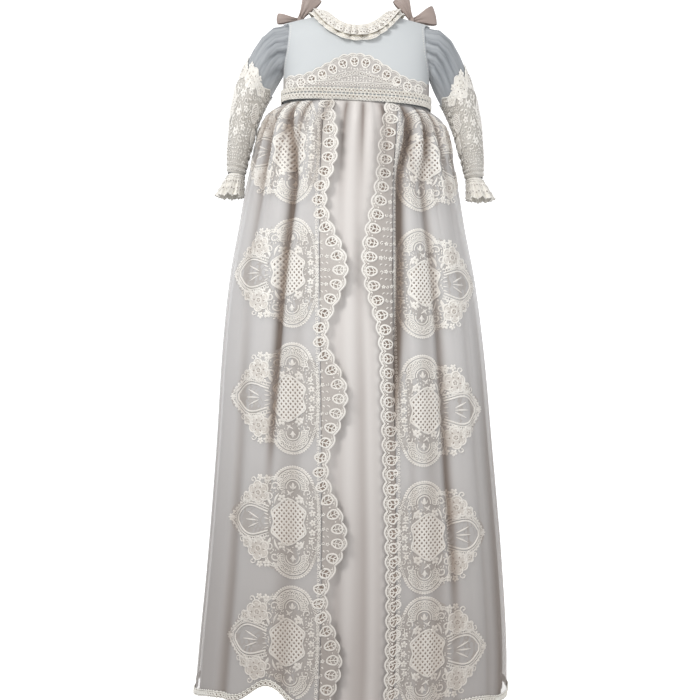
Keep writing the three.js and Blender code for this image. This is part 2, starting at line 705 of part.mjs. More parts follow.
// A point of a sleeve: turn 0 is the front, and a quarter turn is the side with the greater x.
function sleevePoint(side, index, turn) {
  const ring = sleeveRing(index);
  ring.outer.x *= side;
  ring.inner.x *= side;
  const middle = ring.outer.clone().add(ring.inner).multiplyScalar(0.5);
  const reach = ring.outer.clone().sub(middle).multiplyScalar(side);
  const forward = new THREE.Vector3(0, -ring.depth * Math.cos(turn), 0);
  const spoke = reach.clone().multiplyScalar(Math.sin(turn)).add(forward);
  const fullness = bell(index - SLEEVE_PLEATS.fullest, SLEEVE_PLEATS.fade);
  const pleat = SLEEVE_PLEATS.height * fullness * smooth(clamp(index, 0, 1));
  const phase = SLEEVE_PLEATS.count * turn + SLEEVE_PLEATS.uneven * Math.sin(2 * turn);
  const wave = pleat * (0.5 + 0.5 * Math.cos(phase)) - pleat;
  const point = middle.add(spoke.multiplyScalar(1 + wave / spoke.length()));
  if (index < 1) {
    const height = clamp(point.z, SLEEVE_SEAM.foot, SLEEVE_SEAM.top);
    const edge = side * (bodiceEdge(height) + WALL.bodice + SLEEVE_PLEATS.room);
    point.x = mix(edge, point.x, index);
  }
  return tilted(point);
}

const sleeveTurns = around(STEPS.sleeve);

function addSleeve(label, side) {
  const rows = grid(SLEEVE.map((_, i) => i), sleeveTurns, (turn, index) => sleevePoint(side, index, turn));
  addWall(`sleeve_${label}`, COLOUR.tulle, rows, WALL.sleeve, { closed: true });
  const moved = movedOut(rows, WALL.sleeve + SEAM_GAP, true);
  const first = Math.floor(SLEEVE_LACE.from + SLEEVE_LACE.wave) + 1;
  const top = sleeveTurns.map((turn, i) => {
    const index = SLEEVE_LACE.from + SLEEVE_LACE.wave * Math.abs(Math.sin(SLEEVE_LACE.petals * turn / 2));
    return moved[first - 1][i].clone().lerp(moved[first][i], index - first + 1);
  });
  addWall(`sleeve_lace_${label}`, COLOUR.lace, [top, ...moved.slice(first)], WALL.lace, { closed: true });
}

// A cuff frill hangs from the wrist and flares.
function addCuff(label, side) {
  const wrist = sleeveRing(SLEEVE.length - 1);
  const middle = wrist.outer.clone().add(wrist.inner).multiplyScalar(0.5);
  const rows = grid(CUFF_ROWS, around(CUFF.waves * STEPS.perWave), (turn, share) => {
    const flare = CUFF.flare * share ** CUFF.power;
    const wave = CUFF.wave * share * Math.cos(CUFF.waves * turn);
    const halfWidth = (wrist.outer.x - wrist.inner.x) / 2;
    const x = middle.x + (halfWidth + flare + wave) * Math.sin(turn) + CUFF.turn * CUFF.drop * share;
    const y = -(wrist.depth + flare + wave) * Math.cos(turn);
    const rise = CUFF.rise * share * Math.cos(CUFF.waves * turn);
    const z = middle.z - SEAM_GAP - CUFF.room - CUFF.drop * share + rise;
    return tilted(new THREE.Vector3(side * x, y, z));
  });
  const outward = side > 0 ? rows : rows.map((row) => [...row].reverse());
  addWall(`cuff_${label}`, COLOUR.lace, outward, WALL.frill, { closed: true });
}

// Neck frill

// The neckline as a loop from the middle of the back, past the left shoulder, round the front.
function necklinePoint(turn) {
  const x = -SHOULDER.neckHalf * Math.sin(turn);
  const back = Math.cos(turn) > 0;
  const z = topHeight(x, back ? NECKLINE.back : NECKLINE.front);
  const depth = bodiceDepth(x, z);
  return new THREE.Vector3(x, back ? depth : -depth, z);
}

// The direction square to the bodice at a place on it.
function bodiceNormal(x, z, back) {
  const step = 0.5;
  const low = Math.min(z, shoulderHeight(x) - step);
  const sideways = (bodiceDepth(x + step, low) - bodiceDepth(x - step, low)) / (2 * step);
  const upwards = (bodiceDepth(x, low + step) - bodiceDepth(x, low - step)) / (2 * step);
  return new THREE.Vector3(-sideways, back ? 1 : -1, -upwards).normalize();
}

// A point of the frill: share 0 is the edge of its header, and 1 its free edge.
function frillPoint(turn, share) {
  const step = 0.02;
  const seam = necklinePoint(turn);
  const forward = necklinePoint(turn + step).sub(necklinePoint(turn - step)).normalize();
  const normal = bodiceNormal(seam.x, seam.z, seam.y > 0);
  const away = forward.clone().cross(normal).normalize();
  const reach = mix(-FRILL.header, FRILL.fall, share);
  const wave = FRILL.wave * Math.abs(reach) / FRILL.fall * (1 + Math.cos(FRILL.waves * turn));
  const droop = reach > 0 ? reach * reach / FRILL.droop : 0;
  const rise = reach < 0 ? FRILL.rise : 0;
  const height = FRILL.clearance + wave + rise - droop;
  return tilted(seam.addScaledVector(away, reach).addScaledVector(normal, height));
}

function addNeckFrill() {
  const opening = Math.asin((BACK_LAP + 1) / SHOULDER.neckHalf);
  const turns = spread(opening, 2 * Math.PI - opening, FRILL.waves * STEPS.perWave);
  const rows = grid(FRILL_ROWS, turns, (turn, share) => frillPoint(turn, share));
  addWall('neck_frill', COLOUR.lace, rows, WALL.frill);
}

// Bows

// A ribbon loop: the ribbon goes out and back as a flat oval and is pinched at the knot.
function addLoop(name, bow, loop) {
  const direction = new THREE.Vector3(Math.cos(radians(loop.angle)), 0, Math.sin(radians(loop.angle)));
  const widthwise = new THREE.Vector3(-direction.z, 0, direction.x);
  const knot = new THREE.Vector3(bow.x, bow.y, bow.z);
  const rows = grid([-1, 1], around(LOOP.steps), (turn, across) => {
    const far = 0.5 - 0.5 * Math.cos(turn);
    const half = loop.width / 2 * mix(LOOP.pinch, 1, smooth(far));
    return knot.clone()
      .addScaledVector(direction, LOOP.start + (loop.length - LOOP.start) * far)
      .addScaledVector(new THREE.Vector3(0, 1, 0), loop.spread * Math.sin(turn) * mix(LOOP.nearDepth, 1, far))
      .addScaledVector(widthwise, across * half);
  });
  addWall(name, COLOUR.ribbon, rows, WALL.ribbon, { closed: true });
}

function addBows() {
  for (const bow of BOWS) {
    for (const loop of bow.loops) {
      addLoop(`bow_${bow.name}_${loop.name}`, bow, loop);
    }
    const knot = new THREE.SphereGeometry(KNOT.radius, KNOT.sides, KNOT.rings);
    knot.deleteAttribute('normal');
    knot.deleteAttribute('uv');
    knot.scale(KNOT.wide, KNOT.deep, KNOT.height / KNOT.radius / 2);
    knot.translate(bow.x, bow.y, bow.z);
    addMesh(`bow_${bow.name}_knot`, COLOUR.ribbon, mergeVertices(knot));
  }
}

addUnderskirt();
addOverskirt();
addBorder('border_left', -1, EDGE_LEFT);
addBorder('border_right', 1, EDGE_RIGHT);
addMedallions('left', -1, overPanels.left, MEDALLION_LEFT);
addMedallions('right', 1, overPanels.right, MEDALLION_RIGHT);
addHemBraid();
addBodice();
addButtons();
addYokeLace();
addTrims();
addSleeve('left', -1);
addSleeve('right', 1);
addCuff('left', -1);
addCuff('right', 1);
addNeckFrill();
addBows();

export default gown;
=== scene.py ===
import math
import bmesh
import bpy
import numpy as np
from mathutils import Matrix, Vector


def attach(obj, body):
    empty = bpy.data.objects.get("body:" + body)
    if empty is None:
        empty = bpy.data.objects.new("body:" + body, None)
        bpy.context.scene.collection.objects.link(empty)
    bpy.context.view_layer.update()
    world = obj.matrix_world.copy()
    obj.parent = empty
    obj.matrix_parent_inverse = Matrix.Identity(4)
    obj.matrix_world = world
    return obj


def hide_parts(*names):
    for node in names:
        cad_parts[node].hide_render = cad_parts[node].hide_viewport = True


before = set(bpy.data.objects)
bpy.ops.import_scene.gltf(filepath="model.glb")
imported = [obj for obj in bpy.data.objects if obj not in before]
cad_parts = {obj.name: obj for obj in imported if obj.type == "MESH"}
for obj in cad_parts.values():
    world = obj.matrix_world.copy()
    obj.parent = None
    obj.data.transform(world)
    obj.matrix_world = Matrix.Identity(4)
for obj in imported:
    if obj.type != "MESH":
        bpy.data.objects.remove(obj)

MM = 0.001
PI = math.pi

# Camera, made before everything else.
PHOTO_HALF = 350  # half the width of the picture, in pixels
PHOTO_FOCUS = 1096  # its focal length, in pixels
CAMERA_PLACE = (-0.005, -1.6, -0.482)
CAMERA_ROLL = -0.6

cam_data = bpy.data.cameras.new("camera")
cam_data.sensor_fit = "HORIZONTAL"
cam_data.angle = 2 * math.atan(PHOTO_HALF / PHOTO_FOCUS)
cam_data.clip_start = 0.05
cam_data.clip_end = 20
camera = bpy.data.objects.new("camera", cam_data)
camera.location = CAMERA_PLACE
camera.rotation_euler = (math.radians(90), math.radians(CAMERA_ROLL), 0)
bpy.context.scene.collection.objects.link(camera)
bpy.context.scene.camera = camera

# Sizes shared with the CAD, in millimetres.
SEAM_GAP = 0.3
OUTER_FACE = 0.6  # from the middle of the tulle to its outer face
WAIST = -129.0
HEM = -972.0
SKIRT = [  # z, half width, half depth, shift to the right
    (-129, 104.4, 54.4, 0), (-136, 109, 61, 0), (-152, 120, 70, -1), (-177, 129, 76, -2), (-203, 135, 81, -3),
    (-251, 147, 88, -4), (-307, 158, 94, -4), (-380, 172, 100, -3), (-482, 184, 106, -1), (-628, 195, 112, 2),
    (-788, 208, 118, 4), (-905, 217, 122, 3), (-1000, 221, 125, 0)]
FOLDS = [  # angle at the waist, at mid height and at the hem, depth, width, height where it has gone
    (-47, -33, -38, 8, 12, -660), (-68, -57, -60, 5, 12, -420), (39, 26, 5, 8.5, 12, -620),
    (56, 41, 41, 6, 13, -860), (2, 3, 4, 3, 12, -1400), (-8, -5, -6, 2.5, 12, -1400),
    (118, 122, 120, 7, 13, -640), (150, 152, 149, 6, 13, -880), (187, 183, 186, 7, 12, -580),
    (216, 213, 217, 6, 13, -780), (246, 240, 243, 7, 13, -520)]
FOLD_MIDDLE = -260.0
FOLD_START = 45.0  # how far below the waist a fold is full
FOLD_FADE = 220.0
GATHER_REACH = 105.0  # how far the gathers of the waist reach down
HEM_RISE = (-31, 38, 10)  # angle of the lifted hem in front, its height and its width in degrees
EDGES = {-1: [  # height, arc from the middle to the free edge, how far the edge stands out
    (-129, 30, 1), (-206, 20, 4), (-283, 33, 2), (-372, 5, 6), (-463, 33, 2), (-545, 7, 6),
    (-646, 34, 2), (-738, 9, 6), (-816, 35, 2), (-906, 14, 6), (-972, 30, 3)], 1: [
    (-129, 40, 1), (-185, 33, 3), (-252, 29, 4), (-364, 12, 5), (-464, 33, 1), (-560, 36, 0),
    (-700, 39, 0), (-840, 42, 0), (-972, 42, 0)]}
SIDES = ((-1, "left"), (1, "right"))
SEAM_ARC = {-1: 44.0, 1: 56.0}  # arc from the middle to the seam of each border
SCALLOPS = 43
SCALLOP_DEPTH = 4.5
MEDALLIONS = {-1: [-203, -376, -549, -717, -879], 1: [-212, -389, -564, -736, -892]}  # heights
MEDALLION_INSET = 45.0
BODICE = [  # height, half width, half depth
    (-131, 106, 56), (-85, 106, 55), (-45, 107, 51), (-5, 107, 49)]
NECK_FRONT, NECK_BACK, NECK_SIDE = -29.0, -6.0, 4.0  # heights of the neckline
NECK_HALF = 50.0
LAP_SHARE = math.asin(9 / 106) * 2 / PI  # the overlap of the back, as a share of half the bodice
ARCH = [(0, -65), (20, -69), (38, -79), (62, -92), (76, -97), (108, -98)]
SLEEVE = [  # outer x and z, inner x and z, half depth
    (105, -9, 105, -84, 30), (121, -14, 108.5, -90, 38), (138, -29, 113, -99, 42), (151, -51, 119, -110, 43),
    (164, -80, 127, -123, 41), (175, -110, 136, -140, 38), (181, -141, 144, -160, 35),
    (184, -175, 151, -186, 32), (186, -204, 158, -210, 27), (185, -228, 162.5, -230, 20)]
WRIST = len(SLEEVE) - 1


def clamp(a, low, high):
    return np.clip(a, low, high)


def mix(a, b, t):
    return a + (b - a) * t


def smooth(t):
    return t * t * (3 - 2 * t)


def ramp(a, low, high):
    return smooth(clamp((np.asarray(a, float) - low) / (high - low), 0, 1))


def bell(d, w):
    return np.exp(-((d / w) ** 2))


def turned(angle):
    """The same angle between minus and plus half a turn."""
    return angle - 2 * PI * np.round(angle / (2 * PI))


def direction(angle):
    return np.array([math.cos(angle), math.sin(angle)])


def arc_lengths(line):
    return np.concatenate([[0], np.cumsum(np.linalg.norm(np.diff(line, axis=0), axis=1))])


def along(rows, column, at):
    """A smooth curve through one column of a table, by its first column."""
    keys = np.array([r[0] for r in rows], float)
    vals = np.array([r[column] for r in rows], float)
    at = np.asarray(at, float)
    sign = 1 if keys[1] > keys[0] else -1
    i = np.clip(np.searchsorted(keys * sign, at * sign) - 1, 0, len(keys) - 2)
    last = len(keys) - 1
    n = np.arange(last + 1)
    a, b = np.maximum(n - 1, 0), np.minimum(n + 1, last)
    slope = (vals[b] - vals[a]) / (keys[b] - keys[a])
    step = keys[i + 1] - keys[i]
    t = clamp((at - keys[i]) / step, 0, 1)
    h = smooth(t)
    rise = t * (1 - t) ** 2 * slope[i] * step - t * t * (1 - t) * slope[i + 1] * step
    return vals[i] * (1 - h) + vals[i + 1] * h + rise


def tilted(p):
    """The waist of the gown slopes a little, as it hangs in the photo."""
    p = np.array(p, float)
    p[..., 2] -= 0.04 * p[..., 0] * bell(p[..., 2] - WAIST, 80)
    return p


def unit(v):
    return v / np.maximum(np.linalg.norm(v, axis=-1, keepdims=True), 1e-9)


# Skirt surfaces.
def section(z):
    return along(SKIRT, 1, z), along(SKIRT, 2, z), along(SKIRT, 3, z)


def arc_rate(z, angle):
    w, d, _ = section(z)
    return np.hypot(w * np.cos(angle), d * np.sin(angle))


def angle_at_arc(z, arc):
    w, d, _ = section(z)
    angle = np.zeros(np.broadcast(z, arc).shape)
    for _ in range(40):
        half = angle + arc / 40 / np.hypot(w * np.cos(angle), d * np.sin(angle)) / 2
        angle = angle + arc / 40 / np.hypot(w * np.cos(half), d * np.sin(half))
    return angle


def near_folds(angle, z):
    """For each large fold: how far a point lies from its middle, its depth, its width and where it ends."""
    rate = arc_rate(z, angle)
    upper = ramp(WAIST - z, 0, WAIST - FOLD_MIDDLE)
    lower = clamp((FOLD_MIDDLE - z) / (FOLD_MIDDLE - HEM), 0, 1)
    for waist, middle, hem, depth, width, end in FOLDS:
        at = np.radians(mix(mix(waist, middle, upper), hem, lower))
        yield turned(angle - at) * rate, depth, width, end


def fold_depth(angle, z):
    start = ramp(WAIST - z, 0, FOLD_START)
    return sum(depth * ramp(z, end, end + FOLD_FADE) * start * bell(away, width)
               for away, depth, width, end in near_folds(angle, z))


def gather_wave(angle):
    """Full on the crown of a gather and none in the crease between two."""
    phase = 26 * angle + 0.55 * (np.sin(3 * angle + 1) + np.sin(7 * angle))
    return np.abs(np.cos(phase / 2)) ** 0.8


def gather_height(angle, z):
    below = WAIST - z
    size = 0.8 + 6.4 * bell(below, GATHER_REACH)
    return ramp(below, 0, 12) * size * gather_wave(angle)


def crease(angle, z):
    """How deep a point lies in the sharp middle of a large fold, from 0 to 1."""
    usual, narrow = 7, 6.0
    start = ramp(WAIST - z, 0, FOLD_START)
    total = sum((depth / usual) ** 2 * ramp(z, end - 60, end + 160) * start * bell(away, narrow)
                for away, depth, _, end in near_folds(angle, z))
    return clamp(total, 0, 1.2)


def soft_folds(angle, z):
    """Long loose folds of the lower skirt, in shares from 0 to 1."""
    below = np.maximum(WAIST - np.asarray(z, float), 0)
    first = np.sin(11 * angle + 1.3 * np.sin(2 * angle + 0.6) + 0.0006 * below)
    second = np.sin(19 * angle + 1.7 * np.sin(3 * angle - 1) - 0.0008 * below)
    return (clamp(first, 0, 1) ** 4 + 0.6 * clamp(second, 0, 1) ** 4) * ramp(below, 90, 420)


def painted_skirt_shade(angle, z):
    """Painted shade for a point of the skirt, from 0 to 1: in the creases of the large folds, between the
    gathers and in the loose folds, darker towards the foot and on the sides, and on the right side, which the
    key light reaches less.
    """
    angle, z = np.broadcast_arrays(np.asarray(angle, float), np.asarray(z, float))
    below = WAIST - z
    # Painted shade in the creases of the large folds and between the gathers.
    creased = 0.95 * crease(angle, z)
    gathered = 1.05 * (1 - gather_wave(angle)) ** 1.1 * bell(below, GATHER_REACH) * ramp(below, 0, 6)
    # Painted shade towards the foot and on the sides, and on the right side, which the key light reaches
    # less.
    low = 0.43 * ramp(below, 240, 840) + 0.14 * ramp(np.abs(np.sin(angle)), 0.75, 1)
    painted_right_side_shade = 0.30 * ramp(np.sin(angle), 0.86, 0.99) * ramp(below, 260, 520) * (np.cos(angle) > -0.2)
    return clamp(creased + gathered + low + painted_right_side_shade + 0.22 * soft_folds(angle, z), 0, 1)


def skirt_point(angle, z, out):
    """A point of the skirt, by its angle from the front's middle, its height and how far it stands out."""
    w, d, shift = section(z)
    s, c = np.sin(angle), np.cos(angle)
    a, b = d * s, -w * c
    n = np.hypot(a, b)
    reach = out - fold_depth(angle, z) - 4.5 * crease(angle, z) - 2.4 * soft_folds(angle, z)
    x = w * s + shift + a / n * reach
    y = -d * c + b / n * reach
    return tilted(np.stack(np.broadcast_arrays(x, y, z), -1))


def hem_height(angle):
    middle, height, width = HEM_RISE
    lifted = height * bell(turned(angle - math.radians(middle)), math.radians(width))
    return HEM - 1 + 5 * np.sin(7 * angle + 2) + lifted


def lift_at(z):
    return mix(0.4, 4.2, ramp(WAIST - z, 0, 30))


def over_out(angle, z):
    return 1.2 + lift_at(z) + gather_height(angle, z)


def soft_creases(angle, z):
    """Fine creases of the loose cloth, for which the solids are too coarse: they die away down the skirt."""
    below = np.maximum(WAIST - np.asarray(z, float), 0)
    near = ramp(below, 0, 10) * bell(below, 120)
    fine = 1.1 * np.sin(61 * angle + 2.2 * np.sin(5 * angle)) * near
    long_ones = 0.9 * np.sin(17 * angle + 1.4 * np.sin(3 * angle + below * 0.004)) * ramp(below, 40, 260)
    slow = 0.7 * np.sin(9 * angle - 2 + below * 0.003) * ramp(below, 200, 600)
    return 0.6 * (fine + long_ones + slow)


def over_point(angle, z):
    return skirt_point(angle, z, over_out(angle, z) + OUTER_FACE + soft_creases(angle, z))


def lining_point(angle, z):
    below = np.maximum(WAIST - np.asarray(z, float), 0)
    near = ramp(below, 0, 8) * bell(below, 75)
    gathers = 1.5 * np.sin(38 * angle + 1.6 * np.sin(4 * angle)) * near
    drape = 0.9 * np.sin(13 * angle + 0.7 * np.sin(2 * angle)) * ramp(below, 60, 300)
    return skirt_point(angle, z, 0.4 + gathers + drape)


# Bodice and sleeve surfaces.
def shoulder_height(x):
    return mix(NECK_SIDE, -8.0, clamp((np.abs(x) - NECK_HALF) / 55, 0, 1.1))


def top_height(x, neck):
    share = np.abs(x) / NECK_HALF
    return np.where(share < 1, mix(neck, NECK_SIDE, np.minimum(share, 1) ** 2.4), shoulder_height(x))


def bodice_depth(x, z):
    t = clamp((shoulder_height(x) - z) / 45, 0, 1)
    fall = np.sqrt(1 - (1 - t) ** 2)
    share = clamp(np.abs(x) / along(BODICE, 1, z), 0, 1)
    return along(BODICE, 2, z) * fall * (1 - share ** 3) ** (1 / 3)


def bodice_edge(z):
    """Half the width between the armholes, or between the side seams below them."""
    z = np.asarray(z, float)
    width = along(BODICE, 1, z)
    rise = clamp((z + 46.5) / 37.5, -1, 1)
    hole = 30 * np.sqrt(1 - rise * rise)
    t = clamp((-8 - z) / 45, 0, 1)
    full = along(BODICE, 2, z) * np.sqrt(1 - (1 - t) ** 2)
    share = np.where(hole < 0.5, 0, clamp(hole / np.maximum(full, 1), 0, 0.8))
    return width * (1 - share ** 3) ** (1 / 3)


def bodice_at(column, z, back, out=0.0):
    x = bodice_edge(z) * np.sin(column * PI / 2)
    y = (bodice_depth(x, z) + SEAM_GAP / 2 + out) * (1 if back else -1)
    return np.stack(np.broadcast_arrays(x, y, z), -1)


def bodice_point(column, share, back, out=0.0):
    across = np.sin(column * PI / 2)
    neck = NECK_BACK if back else NECK_FRONT
    top = np.zeros(np.broadcast(column, share).shape)
    for _ in range(6):
        top = top_height(bodice_edge(top) * across, neck)
    return bodice_at(column, mix(top, WAIST, share), back, out)


def sleeve_point(side, index, turn, out=0.0):
    """A point of a sleeve, by its place between the rings of the table and its turn from the front."""
    index, turn = np.broadcast_arrays(np.asarray(index, float), np.asarray(turn, float))
    rows = np.array(SLEEVE, float)
    i = clamp(np.floor(index), 0, len(rows) - 2).astype(int)
    t = (index - i)[..., None]
    now = mix(rows[i], rows[i + 1], t)
    zero = np.zeros_like(index)
    outer = np.stack([now[..., 0] * side, zero, now[..., 1]], -1)
    inner = np.stack([now[..., 2] * side, zero, now[..., 3]], -1)
    middle = (outer + inner) / 2
    reach = (outer - middle) * side
    spoke = reach * np.sin(turn)[..., None]
    spoke[..., 1] -= now[..., 4] * np.cos(turn)
    pleat = 2.4 * bell(index - 1.2, 4.5) * smooth(clamp(index, 0, 1))
    wave = pleat * (0.5 + 0.5 * np.cos(6 * turn + 0.6 * np.sin(2 * turn))) - pleat
    size = np.linalg.norm(spoke, axis=-1)
    p = middle + spoke * (1 + (wave + out) / size)[..., None]
    edge = side * (bodice_edge(clamp(p[..., 2], -84, -9)) + 1.5 + 0.9)
    p[..., 0] = np.where(index < 1, mix(edge, p[..., 0], clamp(index, 0, 1)), p[..., 0])
    return tilted(p)


# Meshes.
def link(name, mesh, materials, slot, stands_for):
    o = bpy.data.objects.new(name, mesh)
    bpy.context.scene.collection.objects.link(o)
    for m in materials:
        mesh.materials.append(m)
    for p in mesh.polygons:
        p.use_smooth = True
    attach(o, "root")
    if stands_for:
        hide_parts(stands_for)


# Stores painted shade, from 0 to 1, on the points of a mesh.
def set_painted_shade(mesh, shade):
    layer = mesh.attributes.new("shade", "FLOAT", "POINT")
    layer.data.foreach_set("value", np.asarray(shade, float).ravel().astype(np.float32))


def grid_object(name, P, materials, slot, closed=False, flip=False, shade=None, stands_for=None):
    """A sheet from a grid of points in millimetres: rows run down and columns run to the right."""
    h, w = P.shape[:2]
    verts = (P.reshape(-1, 3) * MM).tolist()
    cols = w if closed else w - 1
    j, i = np.meshgrid(np.arange(h - 1), np.arange(cols), indexing="ij")
    n = (i + 1) % w
    quads = np.stack([j * w + i, (j + 1) * w + i, (j + 1) * w + n, j * w + n], -1).reshape(-1, 4)
    if flip:
        quads = quads[:, ::-1]
    mesh = bpy.data.meshes.new(name)
    mesh.from_pydata(verts, [], quads.tolist())
    step_u = np.linalg.norm(np.diff(P, axis=1), axis=-1)
    step_v = np.linalg.norm(np.diff(P, axis=0), axis=-1)
    u = np.concatenate([np.zeros((h, 1)), np.cumsum(step_u, 1)], 1) * MM
    v = np.concatenate([np.zeros((1, w)), np.cumsum(step_v, 0)], 0) * MM
    uv = np.stack([u, -v], -1).reshape(-1, 2)
    layer = mesh.uv_layers.new(name="cloth")
    loops = np.zeros(len(mesh.loops), np.int32)
    mesh.loops.foreach_get("vertex_index", loops)
    layer.data.foreach_set("uv", uv[loops].ravel().astype(np.float32))
    if shade is not None:
        set_painted_shade(mesh, np.broadcast_to(shade, (h, w)))
    mesh.update()
    link(name, mesh, materials, slot, stands_for)


# Materials.
def add_node(nodes, kind, **values):
    node = nodes.new("ShaderNode" + kind)
    for name, value in values.items():
        node.inputs[name.replace("_", " ")].default_value = value
    return node


def material(name, colour, rough, alpha=1.0, sheen=0.0):
    m = bpy.data.materials.new(name)
    m.use_nodes = True
    nodes = m.node_tree.nodes
    shader = nodes["Principled BSDF"]
    shader.inputs["Base Color"].default_value = (*colour, 1)
    shader.inputs["Roughness"].default_value = rough
    shader.inputs["Alpha"].default_value = alpha
    shader.inputs["Sheen Weight"].default_value = sheen
    shader.inputs["Sheen Roughness"].default_value = 0.5
    shader.inputs["Specular IOR Level"].default_value = 0.25
    return m, nodes, m.node_tree.links, shader


FIRST, SECOND, MIXED = 6, 7, 2  # the colour sockets of a mix node


def colour_mix(nodes, colour):
    blend = nodes.new("ShaderNodeMix")
    blend.data_type = "RGBA"
    blend.inputs[SECOND].default_value = (*colour, 1)
    return blend


def tinted(m_parts, colour, amount, scale, stretch=1.0):
    """Varies the base colour a little with a slow noise."""
    _, nodes, links, shader = m_parts
    place = nodes.new("ShaderNodeTexCoord")
    size = add_node(nodes, "Mapping", Scale=(1, 1, stretch))
    noise = add_node(nodes, "TexNoise", Scale=scale, Detail=3)
    share = add_node(nodes, "MapRange", From_Min=0.3, From_Max=0.7, To_Max=amount)
    blend = colour_mix(nodes, colour)
    blend.inputs[FIRST].default_value = shader.inputs["Base Color"].default_value
    links.new(place.outputs["Object"], size.inputs["Vector"])
    links.new(size.outputs["Vector"], noise.inputs["Vector"])
    links.new(noise.outputs["Fac"], share.inputs["Value"])
    links.new(share.outputs["Result"], blend.inputs["Factor"])
    links.new(blend.outputs[MIXED], shader.inputs["Base Color"])


def folded(m_parts, colour, amount):
    """Paints shade into the colour: mixes in a dark colour by the painted shade, from 0 to 1, that the mesh
    carries.
    """
    _, nodes, links, shader = m_parts
    depth = nodes.new("ShaderNodeAttribute")
    depth.attribute_name = "shade"
    scaled = nodes.new("ShaderNodeMath")
    scaled.operation = "MULTIPLY"
    scaled.inputs[1].default_value = amount
    blend = colour_mix(nodes, colour)
    before = shader.inputs["Base Color"].links[0].from_socket
    links.new(depth.outputs["Fac"], scaled.inputs[0])
    links.new(scaled.outputs[0], blend.inputs["Factor"])
    links.new(before, blend.inputs[FIRST])
    links.new(blend.outputs[MIXED], shader.inputs["Base Color"])


WAVE_RATE = 3.14 / (2 * PI)  # scale of the wave texture for one thread to the metre


def weave_bump(m_parts, pitch, strength):
    """Warp and weft threads as a fine bump, on the cloth's own coordinates."""
    m, nodes, links, shader = m_parts
    place = nodes.new("ShaderNodeTexCoord")
    crossing = nodes.new("ShaderNodeMath")
    crossing.operation = "MULTIPLY"
    for k, axis in enumerate(("X", "Y")):
        wave = add_node(nodes, "TexWave", Scale=WAVE_RATE / pitch, Distortion=0.4, Detail=1)
        wave.wave_type = "BANDS"
        wave.bands_direction = axis
        links.new(place.outputs["UV"], wave.inputs["Vector"])
        links.new(wave.outputs["Fac"], crossing.inputs[k])
    bump = add_node(nodes, "Bump", Strength=strength, Distance=0.0003)
    links.new(crossing.outputs[0], bump.inputs["Height"])
    links.new(bump.outputs["Normal"], shader.inputs["Normal"])
    return m


def thread_bump(m_parts, scale, strength):
    m, nodes, links, shader = m_parts
    place = nodes.new("ShaderNodeTexCoord")
    noise = add_node(nodes, "TexNoise", Scale=scale, Detail=2)
    bump = add_node(nodes, "Bump", Strength=strength, Distance=0.0004)
    links.new(place.outputs["Object"], noise.inputs["Vector"])
    links.new(noise.outputs["Fac"], bump.inputs["Height"])
    links.new(bump.outputs["Normal"], shader.inputs["Normal"])
    return m


